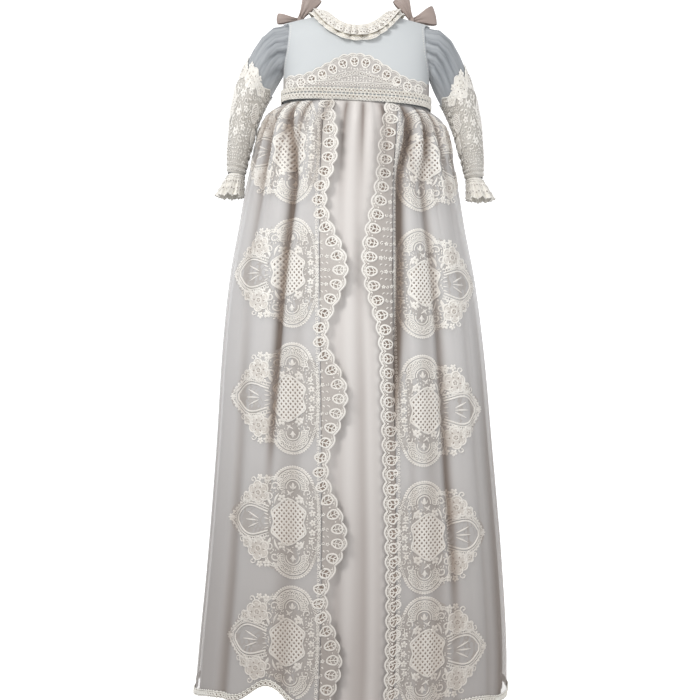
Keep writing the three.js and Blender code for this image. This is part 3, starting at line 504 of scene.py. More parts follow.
# Rows: base look; second colour, its share, scale and stretch; colour of the painted shade in folds and
# shaded parts, and its share; bump, size, strength.
CLOTHS = [
    ("satin", (0.72, 0.69, 0.665), 0.40, 1, 0.15,
     (0.65, 0.615, 0.59), 0.6, 6, 0.25, (0.22, 0.18, 0.16), 1.0, weave_bump, 0.0009, 0.12),
    ("tulle", (0.74, 0.73, 0.725), 0.75, 0.64, 0.25,
     (0.66, 0.645, 0.64), 0.6, 9, 0.2, (0.20, 0.15, 0.115), 0.95, weave_bump, 0.0016, 0.25),
    ("lace_net", (0.67, 0.635, 0.60), 0.8, 0.78, 0,
     (0.54, 0.495, 0.46), 0.7, 22, 1, (0.20, 0.155, 0.13), 0.9, weave_bump, 0.0016, 0.25),
    # The lace's own net ground, toned darker with painted shade for the shadow the lace casts on the cloth.
    ("medallion_net", (0.66, 0.63, 0.60), 0.8, 0.66, 0,
     (0.50, 0.46, 0.425), 0.8, 90, 1, (0.24, 0.19, 0.16), 0.9, weave_bump, 0.0016, 0.3),
    # Grey-blue tulle, its colour darkened with painted shade of the sleeve's inside seen through it.
    ("sleeve_tulle", (0.44, 0.465, 0.49), 0.7, 0.72, 0.3,
     (0.34, 0.365, 0.39), 0.7, 20, 0.5, (0.13, 0.15, 0.17), 1.0, weave_bump, 0.0016, 0.25),
    ("lace_thread", (0.88, 0.86, 0.815), 0.8, 1, 0.25,
     (0.81, 0.775, 0.72), 0.6, 30, 1, (0.31, 0.25, 0.205), 1.0, thread_bump, 900, 0.35),
    ("petal_filling", (0.72, 0.685, 0.64), 0.85, 1, 0.2,
     (0.62, 0.58, 0.53), 0.8, 60, 1, (0.28, 0.225, 0.185), 1.0, thread_bump, 1100, 0.6),
    # Painted shade for the holes of the lace, where only shade shows through.
    ("painted_eyelet_shade", (0.20, 0.155, 0.13), 0.9, 1, 0,
     (0.30, 0.25, 0.21), 0.8, 60, 1, None, 0, thread_bump, 500, 0.2),
    ("bodice_weave", (0.585, 0.61, 0.62), 0.7, 1, 0.15,
     (0.555, 0.58, 0.592), 0.5, 12, 1, None, 0, weave_bump, 0.0008, 0.2),
    ("cream_lace", (0.72, 0.685, 0.60), 0.8, 1, 0.2,
     (0.58, 0.53, 0.44), 0.7, 45, 1, (0.34, 0.28, 0.21), 0.9, thread_bump, 700, 0.4),
    ("ribbon", (0.37, 0.30, 0.27), 0.38, 1, 0.2,
     (0.27, 0.215, 0.19), 0.6, 40, 1, None, 0, weave_bump, 0.0008, 0.15),
    ("button", (0.86, 0.84, 0.80), 0.25, 1, 0,
     (0.90, 0.87, 0.86), 0.5, 120, 1, None, 0, thread_bump, 200, 0.05),
    ("yoke_net", (0.59, 0.56, 0.535), 0.8, 0.9, 0,
     (0.47, 0.435, 0.41), 0.7, 40, 1, None, 0, weave_bump, 0.0016, 0.25),
    # A dark tape of painted shade, for the shade seen between the braid's threads.
    ("braid_shade_ground", (0.40, 0.36, 0.32), 0.85, 1, 0,
     (0.29, 0.25, 0.21), 0.7, 60, 1, None, 0, thread_bump, 700, 0.3),
    ("braid_thread", (0.86, 0.84, 0.79), 0.8, 1, 0.2,
     (0.77, 0.735, 0.665), 0.7, 50, 1, None, 0, thread_bump, 900, 0.35),
    ("frill_lace", (0.80, 0.77, 0.71), 0.8, 1, 0.25,
     (0.77, 0.745, 0.68), 0.6, 40, 1, (0.42, 0.36, 0.29), 0.9, weave_bump, 0.0012, 0.3),
    ("sleeve_net", (0.68, 0.655, 0.61), 0.8, 0.88, 0,
     (0.54, 0.505, 0.455), 0.8, 30, 1, None, 0, weave_bump, 0.0016, 0.25),
]


def make_looks():
    looks = {}
    for (name, colour, rough, alpha, sheen, second, share, scale, stretch, fold, fold_share,
         bump, size, strength) in CLOTHS:
        parts = material(name, colour, rough, alpha, sheen)
        tinted(parts, second, share, scale, stretch)
        # The fold colour is painted shade, mixed in by the shade that the mesh carries.
        if fold:
            folded(parts, fold, fold_share)
        looks[name] = bump(parts, size, strength)
    return looks


LOOKS = make_looks()
# A drawing's strips and domes say which of its materials they take.
# Dark discs and patches of painted shade stand in the holes of the lace.
CORD, PAINTED_HOLE_SHADE, GROUND, FILLING = range(4)
LACE = [LOOKS["lace_thread"], LOOKS["painted_eyelet_shade"]]
BRAID = [LOOKS["braid_thread"], LOOKS["painted_eyelet_shade"]]


# Stage and light.
def build_stage():
    """A pale floor that turns up into a round wall, the same from every side."""
    turn = np.linspace(0, PI / 2, 14)
    reach, bend, foot, top = 5200.0, 900.0, -1300.0, 5200.0
    line = [(1.0, foot), (1500.0, foot)]
    line += [(reach - bend + bend * math.sin(t), foot + bend - bend * math.cos(t)) for t in turn]
    line += [(reach, top)]
    around = np.linspace(0, 2 * PI, 65)
    P = np.array([[(r * math.sin(a), r * math.cos(a), z) for a in around] for r, z in line], float)
    parts = material("backdrop", (0.93, 0.93, 0.93), 0.9)
    shader = parts[3]
    shader.inputs["Emission Color"].default_value = (1, 1, 1, 1)
    shader.inputs["Emission Strength"].default_value = 0.8
    tinted(parts, (0.91, 0.91, 0.91), 0.3, 2)
    mesh = bpy.data.meshes.new("backdrop")
    h, w = P.shape[:2]
    corners = [j * w + i for j in range(h - 1) for i in range(w - 1)]
    quads = [(k, k + 1, k + w + 1, k + w) for k in corners]
    mesh.from_pydata((P.reshape(-1, 3) * MM).tolist(), [], quads)
    mesh.materials.append(parts[0])
    for p in mesh.polygons:
        p.use_smooth = True
    o = bpy.data.objects.new("backdrop", mesh)
    o.visible_diffuse = False
    bpy.context.scene.collection.objects.link(o)


LIGHTS = [  # name, place, aim, power in watts, size, colour
    ("key", (-1.15, -1.4, 0.85), (0, 0, -0.42), 25, 0.6, (1.0, 0.99, 0.975)),
    ("fill", (1.2, -1.8, -0.5), (0, 0, -0.6), 15, 1.4, (1.0, 0.985, 0.97)),
    ("side", (-1.5, 0.5, -0.3), (0, 0, -0.5), 2.5, 1.0, (0.86, 0.92, 1.0)),
    ("back", (0.9, 2.3, 0.5), (0, 0, -0.5), 30, 1.4, (1, 1, 1))]


def area_light(name, place, target, power, size, colour):
    data = bpy.data.lights.new(name, "AREA")
    data.shape = "SQUARE"
    data.size = size
    data.energy = power
    data.color = colour
    o = bpy.data.objects.new(name, data)
    o.location = place
    o.rotation_euler = (Vector(target) - Vector(place)).to_track_quat("-Z", "Y").to_euler()
    bpy.context.scene.collection.objects.link(o)


def build_light():
    world = bpy.data.worlds.new("world")
    bpy.context.scene.world = world
    world.use_nodes = True
    back = world.node_tree.nodes["Background"]
    back.inputs["Color"].default_value = (0.97, 0.98, 1.0, 1)
    back.inputs["Strength"].default_value = 0.56
    for light in LIGHTS:
        area_light(*light)
    bpy.context.scene.view_settings.view_transform = "Standard"


# Plain cloth.
def lap_rows(n, crowding):
    """Shares down the cloth, closer together near its top."""
    return np.linspace(0, 1, n) ** crowding


def side_gap(z):
    return SEAM_GAP / section(z)[1]


def right_side(z):
    return PI / 2 - side_gap(z)


def left_side(z):
    return -right_side(z)


def back_start(z):
    return PI / 2 + side_gap(z)


def back_end(z):
    return 1.5 * PI - side_gap(z)


def left_seam(z):
    return -angle_at_arc(z, SEAM_ARC[-1])


def right_seam(z):
    return angle_at_arc(z, SEAM_ARC[1])


SKIRT_SHEETS = [  # name, solid, rows, columns, where it starts and ends, surface, rise of the hem, look
    ("satin_front", "underskirt_front", 84, 220, left_side, right_side, lining_point, 3, "satin"),
    ("satin_back", "underskirt_back", 60, 180, back_start, back_end, lining_point, 3, "satin"),
    ("tulle_left", "overskirt_left", 90, 150, left_side, left_seam, over_point, 0, "tulle"),
    ("tulle_right", "overskirt_right", 90, 150, right_seam, right_side, over_point, 0, "tulle"),
    ("tulle_back", "overskirt_back", 60, 220, back_start, back_end, over_point, 0, "tulle")]


def build_skirt():
    for name, solid, rows, columns, start, end, point, rise, look in SKIRT_SHEETS:
        share, col = np.meshgrid(lap_rows(rows, 1.25), np.linspace(0, 1, columns), indexing="ij")
        rough = mix(WAIST - SEAM_GAP, HEM, share)
        angle = mix(start(rough), end(rough), col)
        z = mix(WAIST - SEAM_GAP, hem_height(angle) + rise, share)
        grid_object(name, point(angle, z), [LOOKS[look]], look, shade=painted_skirt_shade(angle, z), stands_for=solid)


def free_edge(side, z, share):
    """Arc from the middle to the scalloped free edge of a border."""
    return along(EDGES[side], 1, z) + SCALLOP_DEPTH * (1 - np.abs(np.sin(PI * SCALLOPS * share)))


def border_point(side, share, column):
    """Column 0 is the front seam and 1 the free edge."""
    z = mix(WAIST - SEAM_GAP, HEM, share)
    angle = side * angle_at_arc(z, mix(SEAM_ARC[side] - 1, free_edge(side, z, share), column))
    lift = along(EDGES[side], 2, z) * column * column
    return skirt_point(angle, mix(WAIST - SEAM_GAP, hem_height(angle), share),
                       over_out(angle, z) + OUTER_FACE + soft_creases(angle, z) + lift)


def build_borders():
    for side, name in SIDES:
        share, col = np.meshgrid(np.linspace(0, 1, SCALLOPS * 8 + 1), np.linspace(0, 1, 7), indexing="ij")
        P = border_point(side, share, col if side < 0 else 1 - col)
        z = mix(WAIST, HEM, share)
        # Painted shade: the right border, which is turned in, is darker than the left below the top.
        painted_side_shade = (0.1 if side < 0 else 0.45) * ramp(-z, 200, 420)
        shade = clamp(painted_skirt_shade(side * angle_at_arc(z, SEAM_ARC[side] - 10), z) + painted_side_shade, 0, 1)
        grid_object("border_net_" + name, P, [LOOKS["lace_net"]], "lace", shade=shade,
                    stands_for="border_" + name)


BODICE_SHEETS = [  # name, solid, rows, columns, first and last column's share, whether at the back
    ("front_weave", "bodice_front", 46, 90, -1, 1, False),
    ("right_back_weave", "bodice_back_right", 40, 44, 1, LAP_SHARE / 3, True),
    ("left_back_weave", "bodice_back_left", 40, 56, LAP_SHARE, -1, True)]


def build_bodice():
    for name, solid, rows, columns, first, last, back in BODICE_SHEETS:
        share, col = np.meshgrid(lap_rows(rows, 1.3), np.linspace(first, last, columns), indexing="ij")
        out = 0.8
        if solid == "bodice_back_left":
            out = out + 1.8 * ramp(col, -LAP_SHARE, -LAP_SHARE / 3)
        P = tilted(bodice_point(col, share, back, out))
        grid_object(name, P, [LOOKS["bodice_weave"]], "bodice_weave", stands_for=solid)


def build_sleeves():
    for side, name in SIDES:
        turns = np.arange(144) * 2 * PI / 144
        index, turn = np.meshgrid(np.linspace(0, WRIST, 74), turns, indexing="ij")
        deep = 0.55 + 0.45 * np.sin(3 * turn + 1.1 + side)
        first = (1 - np.abs(np.sin(5 * turn + 1.6 * np.sin(2 * turn + 0.6) + 0.5 * index))) ** 1.6
        second = (1 - np.abs(np.sin(12 * turn + 1.1 * np.sin(3 * turn) - 0.35 * index))) ** 2
        near = bell(index - 0.6, 2.6) * ramp(index, -0.4, 0.3)
        P = sleeve_point(side, index, turn, OUTER_FACE - (4.2 * first * deep + 1.5 * second) * near)
        # The seam allowance of the sleeve head, which lies inside the bodice.
        head = mix(P[0], P[0].mean(axis=0), 0.015) + np.array([-5.0 * side, 0, 0])
        P = np.concatenate([head[None], P[1:]])
        # Painted shade in the pleats near the sleeve head, and more on the right sleeve, which the key light
        # reaches less.
        painted_side_shade = (0.42 if side > 0 else 0.12) * ramp(index, 0.2, 2.2)
        shade = clamp((0.9 * first * (0.4 + deep) + 0.4 * second) * near + painted_side_shade, 0, 1)
        grid_object("sleeve_tulle_" + name, P, [LOOKS["sleeve_tulle"]], "tulle", closed=True, shade=shade,
                    stands_for="sleeve_" + name)


# Raised embroidery: strips and domes drawn flat in millimetres as (u, v, height) and then laid on the cloth.
class Threads:
    def __init__(self):
        self.points = []
        self.faces = []
        self.looks = []
        self.count = 0

    def add(self, points, faces, look):
        points = np.asarray(points, float)
        faces = np.asarray(faces, int)
        self.points.append(points)
        self.faces.append(faces + self.count)
        self.looks.append(np.full(len(faces), look))
        self.count += len(points)

    def cord(self, line, width, height=0.9, look=CORD, closed=False, base=0.15):
        """A rounded cord along a line; width is one number or one for each point."""
        line = np.asarray(line, float)
        n = len(line)
        if closed:
            run = np.roll(line, -1, 0) - np.roll(line, 1, 0)
        else:
            run = np.gradient(line, axis=0)
        run = unit(run)
        side = np.stack([-run[:, 1], run[:, 0]], 1)
        half = np.broadcast_to(np.asarray(width, float) / 2, (n,))
        rise = np.broadcast_to(np.asarray(height, float), (n,))
        rows = []
        for across, up in ((-1, 0), (-0.55, 0.8), (0.55, 0.8), (1, 0)):
            flat = line + side * (half * across)[:, None]
            rows.append(np.column_stack([flat, base + rise * up]))
        points = np.concatenate(rows)
        i = np.arange(n if closed else n - 1)
        j = (i + 1) % n
        faces = [np.stack([k * n + i, k * n + j, (k + 1) * n + j, (k + 1) * n + i], 1) for k in range(3)]
        self.add(points, np.concatenate(faces), look)

    def dome(self, centre, rx, ry, turn=0.0, height=1.0, look=CORD, n=10, base=0.15):
        """A filled oval, raised in its middle."""
        a = np.arange(n) * 2 * PI / n
        c, s = math.cos(turn), math.sin(turn)
        ring = []
        for size, up in ((1.0, 0.0), (0.62, 0.8)):
            x, y = rx * size * np.cos(a), ry * size * np.sin(a)
            ring.append(np.column_stack([centre[0] + x * c - y * s, centre[1] + x * s + y * c,
                                         np.full(n, base + height * up)]))
        points = np.concatenate([*ring, [[centre[0], centre[1], base + height * 0.95]]])
        i = np.arange(n)
        j = (i + 1) % n
        quads = np.stack([i, j, n + j, n + i], 1)
        tops = np.stack([n + i, n + j, np.full(n, 2 * n), np.full(n, 2 * n)], 1)
        self.add(points, np.concatenate([quads, tops]), look)

    def ring(self, centre, radius, width, height=0.8, n=10, squash=1.0):
        a = np.arange(n) * 2 * PI / n
        self.cord(np.column_stack([centre[0] + radius * np.cos(a), centre[1] + radius * squash * np.sin(a)]),
                  width, height, closed=True)

    def eyelet(self, centre, radius, width, hole, height=0.9, sides=(8, 5), base=0.2):
        """A ring of thread round a dark disc of painted shade, where the hole shows only shade."""
        self.ring(centre, radius, width, height, sides[0])
        self.dome(centre, hole, hole, 0, 0.2, PAINTED_HOLE_SHADE, sides[1], base)

    def plate(self, rows, look, height, across=13):
        """A thin filled area between pairs of points: rows of (left u, right u, v)."""
        rows = np.asarray(rows, float)
        n = len(rows)
        share = np.linspace(0, 1, across)
        u = mix(rows[:, :1], rows[:, 1:2], share)
        v = np.repeat(rows[:, 2:], across, 1)
        points = np.stack([u, v, np.full(u.shape, height)], -1).reshape(-1, 3)
        j, i = np.meshgrid(np.arange(n - 1), np.arange(across - 1), indexing="ij")
        at = (j * across + i).ravel()
        self.add(points, np.stack([at, at + 1, at + across + 1, at + across], 1), look)

    def merged(self):
        return np.concatenate(self.points), np.concatenate(self.faces), np.concatenate(self.looks)

    def put(self, drawing, move=(0, 0), turn=0.0, scale=1.0):
        """Lays a copy of another drawing into this one."""
        p, faces, looks = drawing.merged()
        p[:, :2] *= scale
        c, s = math.cos(turn), math.sin(turn)
        x = p[:, 0] * c - p[:, 1] * s + move[0]
        y = p[:, 0] * s + p[:, 1] * c + move[1]
        p[:, 0], p[:, 1] = x, y
        self.points.append(p)
        self.faces.append(faces + self.count)
        self.looks.append(looks)
        self.count += len(p)

    def taken(self):
        return np.concatenate([p[:, :2] for p in self.points])


def lace_object(name, threads, onto, materials, slot="lace", flip=False, drop=None, shade=None,
                stands_for=None):
    """Lays a drawing on a surface: onto takes arrays u, v and height and gives points."""
    points, faces, looks = threads.merged()
    P = onto(points[:, 0], points[:, 1], points[:, 2])
    if drop is not None:
        keep = ~drop(points)[faces].any(1)
        faces, looks = faces[keep], looks[keep]
    if flip:
        faces = faces[:, ::-1]
    used, inverse = np.unique(faces, return_inverse=True)
    faces = inverse.reshape(faces.shape)
    P = P[used]
    mesh = bpy.data.meshes.new(name)
    lists = [f[:3] if f[2] == f[3] else (f[1:] if f[0] == f[1] else f) for f in faces.tolist()]
    mesh.from_pydata((P * MM).tolist(), [], lists)
    if shade is not None:
        set_painted_shade(mesh, shade(points[used, 0], points[used, 1]))
    mesh.polygons.foreach_set("material_index", looks.astype(np.int32))
    mesh.update()
    link(name, mesh, materials, slot, stands_for)


# Motifs. All their sizes are millimetres on the cloth.
def arc_line(centre, radius, start, end, n=None, squash=1.0):
    a = np.radians(np.linspace(start, end, n or max(4, int(abs(end - start) / 18) + 2)))
    return np.column_stack([centre[0] + radius * np.cos(a), centre[1] + radius * squash * np.sin(a)])


def leaf(threads, start, end, width, height=1.0, bend=0.0, n=7):
    start, end = np.asarray(start, float), np.asarray(end, float)
    t = np.linspace(0, 1, n)
    run = end - start
    side = np.array([-run[1], run[0]])
    line = start + run * t[:, None] + side * (bend * np.sin(PI * t))[:, None]
    widths = np.maximum(width * np.sin(PI * np.clip(t, 0.04, 0.96)) ** 0.7, 0.35)
    threads.cord(line, widths, height * np.sin(PI * np.clip(t, 0.12, 0.88)) ** 0.5)


def flower(threads, centre, radius, petals=5, turn=0.0, height=1.1, heart=True):
    for k in range(petals):
        a = turn + k * 2 * PI / petals
        c = (centre[0] + radius * 0.58 * math.cos(a), centre[1] + radius * 0.58 * math.sin(a))
        threads.dome(c, radius * 0.44, radius * 0.36, a, height, n=8)
    if heart:
        threads.ring(centre, radius * 0.2, radius * 0.16, height + 0.25, n=7)
        # A dark disc of painted shade in the heart.
        threads.dome(centre, radius * 0.12, radius * 0.12, 0, height * 0.6, PAINTED_HOLE_SHADE, 5)


def big_flower(threads, centre, radius, turn=0.0, petals=6):
    """A larger bloom: round petals with corded rims, small eyelets between them and a ringed heart."""
    centre = np.array(centre, float)
    for k in range(petals):
        a = turn + k * 2 * PI / petals
        c = centre + direction(a) * radius * 0.6
        threads.dome(c, radius * 0.42, radius * 0.42, a, 0.8, FILLING, 12)
        facing = math.degrees(a)
        threads.cord(arc_line(c, radius * 0.42, facing - 118, facing + 118, 12), 2.1, 1.7)
        threads.cord(arc_line(c, radius * 0.22, facing - 100, facing + 100, 8), 1.2, 1.3)
        # A dark disc of painted shade between the petals.
        gap = centre + direction(a + PI / petals) * radius * 0.5
        threads.dome(gap, radius * 0.08, radius * 0.08, 0, 0.9, PAINTED_HOLE_SHADE, 6)
    threads.dome(centre, radius * 0.27, radius * 0.27, 0, 1.1, FILLING, 12)
    threads.ring(centre, radius * 0.27, 1.5, 1.7, n=12)
    # Dark discs of painted shade round the heart.
    for k in range(5):
        c = centre + direction(turn + k * 2 * PI / 5) * radius * 0.14
        threads.dome(c, radius * 0.06, radius * 0.06, 0, 1.5, PAINTED_HOLE_SHADE, 5)


SHIELD = [  # height, half width
    (0, 0.84), (0.18, 0.9), (0.38, 1), (0.5, 0.96), (0.66, 0.68), (0.82, 0.4), (1, 0.05)]


def net_window(threads, half_width, top, pitch=(6.6, 7.6), cord=2.7):
    """A diamond net in a shield that is pointed above and below."""
    def reach(v):
        share = np.interp(np.abs(v) / top, [row[0] for row in SHIELD], [row[1] for row in SHIELD])
        return half_width * share * (np.abs(v) <= top)
    # A dark patch of painted shade behind the net, where its holes show shade.
    threads.plate([(-reach(v), reach(v), v) for v in np.linspace(-top + 0.5, top - 0.5, 25)], PAINTED_HOLE_SHADE, 0.1)
    t = np.linspace(-top, top, 60)
    for slope in (1, -1):
        for k in range(-12, 13):
            u = slope * t * pitch[0] / pitch[1] + k * pitch[0]
            inside = np.abs(u) <= reach(t) + 0.4
            runs = np.split(np.arange(len(t)), np.where(np.diff(inside.astype(int)) != 0)[0] + 1)
            for run in runs:
                if inside[run[0]] and len(run) > 2:
                    pick = run[np.linspace(0, len(run) - 1, max(2, len(run) // 4)).astype(int)]
                    threads.cord(np.column_stack([u[pick], t[pick]]), cord, 0.75)
    v = np.linspace(-top, top, 31)
    right = np.column_stack([reach(v) + 0.6, v])
    left = np.column_stack([-reach(v[::-1]) - 0.6, v[::-1]])
    threads.cord(np.concatenate([right, left[1:-1]]), 2.3, 1.5, closed=True)


def fan_arch(threads, centre, side):
    """A scalloped fan over a small open window with a bud in it. side is 1 above and -1 below."""
    a0, a1 = (-12, 192) if side > 0 else (12, -192)
    for r, w, h in ((9.5, 1.7, 1.1), (12.6, 1.5, 1.0), (18.2, 1.5, 1.1)):
        threads.cord(arc_line(centre, r, a0, a1), w, h)
    middle = np.array(centre, float)
    for a in np.radians(np.linspace(a0, a1, 25)):
        threads.cord([middle + direction(a) * 13.2, middle + direction(a) * 17.6], 1.5, 0.95)
    lobes = np.linspace(a0, a1, 12)
    for facing in (lobes[:-1] + lobes[1:]) / 2:
        m = math.radians(facing)
        c = middle + direction(m) * 19.4
        threads.cord(arc_line(c, 2.9, facing - 95, facing + 95, 7), 1.5, 1.2)
        threads.dome(c, 1.5, 1.3, m, 0.9, n=6)
    c = middle
    leaf(threads, c + (0, -3 * side), c + (0, 6.5 * side), 4.6, 1.4)
    leaf(threads, c + (0, -2 * side), c + (-4.6, 3 * side), 2.2, 1.1, 0.15)
    leaf(threads, c + (0, -2 * side), c + (4.6, 3 * side), 2.2, 1.1, -0.15)


def scroll(threads, centre, radius, start, turn_by, width=2.0, height=1.2):
    """A spiral cord that ends in a small knob."""
    n = 13
    a = np.radians(np.linspace(start, start + turn_by, n))
    r = np.linspace(radius, radius * 0.25, n)
    line = np.column_stack([centre[0] + r * np.cos(a), centre[1] + r * np.sin(a)])
    threads.cord(line, np.linspace(width, width * 0.7, n), height)
    threads.dome(line[-1], width * 0.75, width * 0.75, 0, height, n=6)


def fill_gaps(t, rng, us, vs, room, sizes, skip):
    """Small buds and commas fill what is left between the motifs."""
    taken = t.taken()
    for v in vs:
        for u in us:
            at = np.array([u, v]) + rng.uniform(-1.1, 1.1, 2)
            if skip(at) or np.min(np.hypot(taken[:, 0] - at[0], taken[:, 1] - at[1])) < room:
                continue
            d = direction(rng.uniform(0, PI)) * rng.uniform(*sizes)
            leaf(t, at - d, at + d, rng.uniform(1.4, 2.2), 0.9, rng.uniform(-0.25, 0.25), 4)


# Medallions.
MEDALLION_OUTLINE = [  # angle from the front side, how far the lace reaches
    (0, 43), (30, 52), (62, 70), (90, 74), (112, 70), (128, 70), (144, 66), (158, 76), (172, 92), (180, 96)]
FAN = (-6, 47)  # middle of the upper fan, from the middle of the net window


def medallion_reach(degrees):
    return np.interp(degrees, [row[0] for row in MEDALLION_OUTLINE], [row[1] for row in MEDALLION_OUTLINE])


def medallion_half(t, side):
    """What lies above the net window, for side 1, or below it, for side -1."""
    fan = (FAN[0], FAN[1] * side)
    corner = np.array([19.5, 47 * side])
    fan_arch(t, fan, side)
    # Flowers and leaves over the shoulders of the window.
    flower(t, (-15, 31 * side), 6.2, 5, 0.3 * side)
    flower(t, (9.5, 31.5 * side), 6.2, 5, 0.9 * side)
    leaf(t, (-22, 24 * side), (-12, 38 * side), 3, 1.1, 0.1 * side)
    leaf(t, (20, 24 * side), (13, 39 * side), 3, 1.1, -0.1 * side)
    leaf(t, (-3, 36 * side), (2.5, 43 * side), 2.6, 1.1)
    leaf(t, (3, 36 * side), (-7, 42 * side), 2.4, 1.1)
    # Scrolls between the fan and the corner bloom.
    scroll(t, corner, 7.6, 200 * side, -300 * side, 2.3)
    scroll(t, (27, 33 * side), 6.2, 20 * side, 310 * side, 2.1)
    scroll(t, (-27, 40 * side), 5.6, -30 * side, 300 * side, 1.9)
    t.cord(arc_line(corner, 11, 140 * side, -10 * side), 1.6, 1.0)
    t.cord(arc_line(corner, 14, 138 * side, 10 * side), 1.4, 1.0)
    for a in np.radians(np.linspace(130, 12, 12) * side):
        t.cord([corner + direction(a) * 11.4, corner + direction(a) * 14], 1.2, 0.9)
    # The corner bloom with its leaves.
    big_flower(t, (43.5, 38 * side), 15.5, 0.4 * side, 6)
    big_flower(t, (61, 31 * side), 7.5, 0.8 * side, 5)
    flower(t, (31, 57.5 * side), 5.6, 5, 0.2)
    flower(t, (41, 59 * side), 5, 5, 0.9)
    scroll(t, (52, 55 * side), 5, 210 * side, -290 * side, 1.9)
    scroll(t, (70, 27 * side), 4.4, 100 * side, -290 * side, 1.7)
    leaf(t, (26, 22 * side), (31, 31 * side), 4, 1.1, 0.12 * side)
    for r, w in ((23.5, 1.8), (26.5, 1.4)):
        t.cord(arc_line(fan, r, 20 * side, 165 * side, 22), w, 1.1)
    for a in np.radians(np.linspace(20, 165, 22)):
        t.dome(np.array(fan) + 28.4 * direction(a) * (1, side), 2.0, 1.7, 0, 1.0, n=6)
    # Small flowers up the front side.
    flower(t, (-33, 13 * side), 4.8, 5, 0.2)
    flower(t, (-31.5, 26 * side), 4.2, 5, 0.7)
    leaf(t, (-37, 19 * side), (-28, 19.5 * side), 2.3, 1.0, 0.15 * side)
    scroll(t, (-37, 6 * side), 3.6, 90 * side, 280 * side, 1.5)
    scroll(t, (-36, 33 * side), 3.8, -60 * side, 280 * side, 1.5)


def side_loop(t):
    """A pear of double cord with a fringe between, and three rays in its window."""
    s = np.linspace(0, 1, 26)
    loop_u = 29 + 49 * np.sin(s * PI / 2) ** 0.85
    loop_v = 17.5 * np.cos(s * PI / 2) ** 0.62 * (0.72 + 0.5 * np.sin(PI * np.clip(s * 1.3, 0, 1)))
    inner = np.concatenate([np.column_stack([loop_u, loop_v]), np.column_stack([loop_u, -loop_v])[::-1][1:]])
    run = unit(np.gradient(inner, axis=0))
    away = np.stack([-run[:, 1], run[:, 0]], 1)
    outer = inner + away * 7.4
    outer[:, 0] += 5 * bell(outer[:, 1], 6)
    t.cord(inner, 2.4, 1.5)
    t.cord(inner + away * 3.4, 1.5, 1.1)
    t.cord(outer, 2.0, 1.3)
    for k in range(1, len(inner) - 1):
        t.cord([inner[k] + away[k] * 3.8, mix(inner[k], outer[k], 0.86)], 1.3, 0.95)
        if k % 2 == 0:
            t.dome(outer[k] + away[k] * 1.6, 1.9, 1.7, 0, 1.0, n=6)
    leaf(t, (82, 0), (94, 0), 5.4, 1.4)
    for a in (-0.55, 0, 0.55):
        leaf(t, (40 + 3 * math.cos(a), 5 * math.sin(a)), (40 + 24 * math.cos(a), 21 * math.sin(a)), 2.4, 1.3)
    for v in (-8, -3, 3, 8):
        leaf(t, (28, v), (35, v * 1.35), 1.8, 1.1)


def medallion_net(t):
    """The net that carries all of it, as rings of quads round its middle."""
    n, rings = 72, 12
    turns = np.arange(n) * 2 * PI / n
    degrees = np.degrees(np.arctan2(np.abs(np.sin(turns)), -np.cos(turns)))
    far = medallion_reach(degrees) - 1.5
    points = [np.column_stack([far * k * np.cos(turns), far * k * np.sin(turns), np.full(n, 0.04)])
              for k in np.linspace(0.1, 1, rings)]
    i = np.arange(n)
    after = (i + 1) % n
    faces = [np.stack([j * n + i, j * n + after, (j + 1) * n + after, (j + 1) * n + i], 1)
             for j in range(rings - 1)]
    t.add(np.concatenate(points), np.concatenate(faces)[:, ::-1], GROUND)


def in_clear_part(at):
    """Whether a place lies in the net window, the side loop, the fan's window or past the outline."""
    angle = math.degrees(math.atan2(abs(at[1]), -at[0]))
    return (np.hypot(*at) > medallion_reach(angle) - 3
            or (abs(at[0]) < 25 and abs(at[1]) < 15)
            or (32 < at[0] < 80 and abs(at[1]) < 17)
            or np.hypot(at[0] - FAN[0], abs(at[1]) - FAN[1]) < 9.5)


def medallion_design(seed):
    """u grows towards the side of the skirt and v upwards; the middle of the net window is at the origin."""
    t = Threads()
    net_window(t, 24, 32)
    for side in (1, -1):
        medallion_half(t, side)
    flower(t, (-33.5, 0), 4.6, 5)
    side_loop(t)
    # A line of ring beads towards the front.
    for v in np.linspace(-52, 52, 27):
        t.ring((-42.5 + 11 * (abs(v) / 58) ** 2.4, v), 1.45, 1.15, 1.0, n=7)
    rng = np.random.default_rng(seed)
    fill_gaps(t, rng, np.arange(-38, 64, 4.0), np.arange(-70, 71, 4.0), 1.9, (1.2, 2.0), in_clear_part)
    medallion_net(t)
    return t


# Borders.
def egg_design():
    """The border's eyelet motif: u runs from its pointed end inside to its round end at the free edge."""
    t = Threads()
    a = np.arange(18) * 2 * PI / 18
    # A dark patch of painted shade under the eyelets of the motif.
    x = np.linspace(-7, 7, 9)
    half = 6.0 * np.sqrt(np.maximum(0, 1 - (x / 7.2) ** 2))
    low = np.full(9, 0.1)
    i = np.arange(8)
    t.add(np.concatenate([np.column_stack([x, -half, low]), np.column_stack([x, half, low])]),
          np.stack([i, i + 1, i + 10, i + 9], 1), PAINTED_HOLE_SHADE)
    oval = np.column_stack([7.6 * np.cos(a), 6.3 * np.sin(a) * (1 + 0.22 * np.cos(a))])
    t.cord(oval, 2.5, 1.3, closed=True)
    t.cord([(-7.5, 0), (0, 0.3), (7, 0)], 1.5, 0.95)
    for s in (1, -1):
        t.cord([(-3.6, 0), (-1.8, 3 * s), (-1.2, 5.6 * s)], 1.4, 0.9)
        t.cord([(1.4, 0), (3.2, 2.6 * s), (4.6, 4.6 * s)], 1.4, 0.9)
    return t


EGG = egg_design()


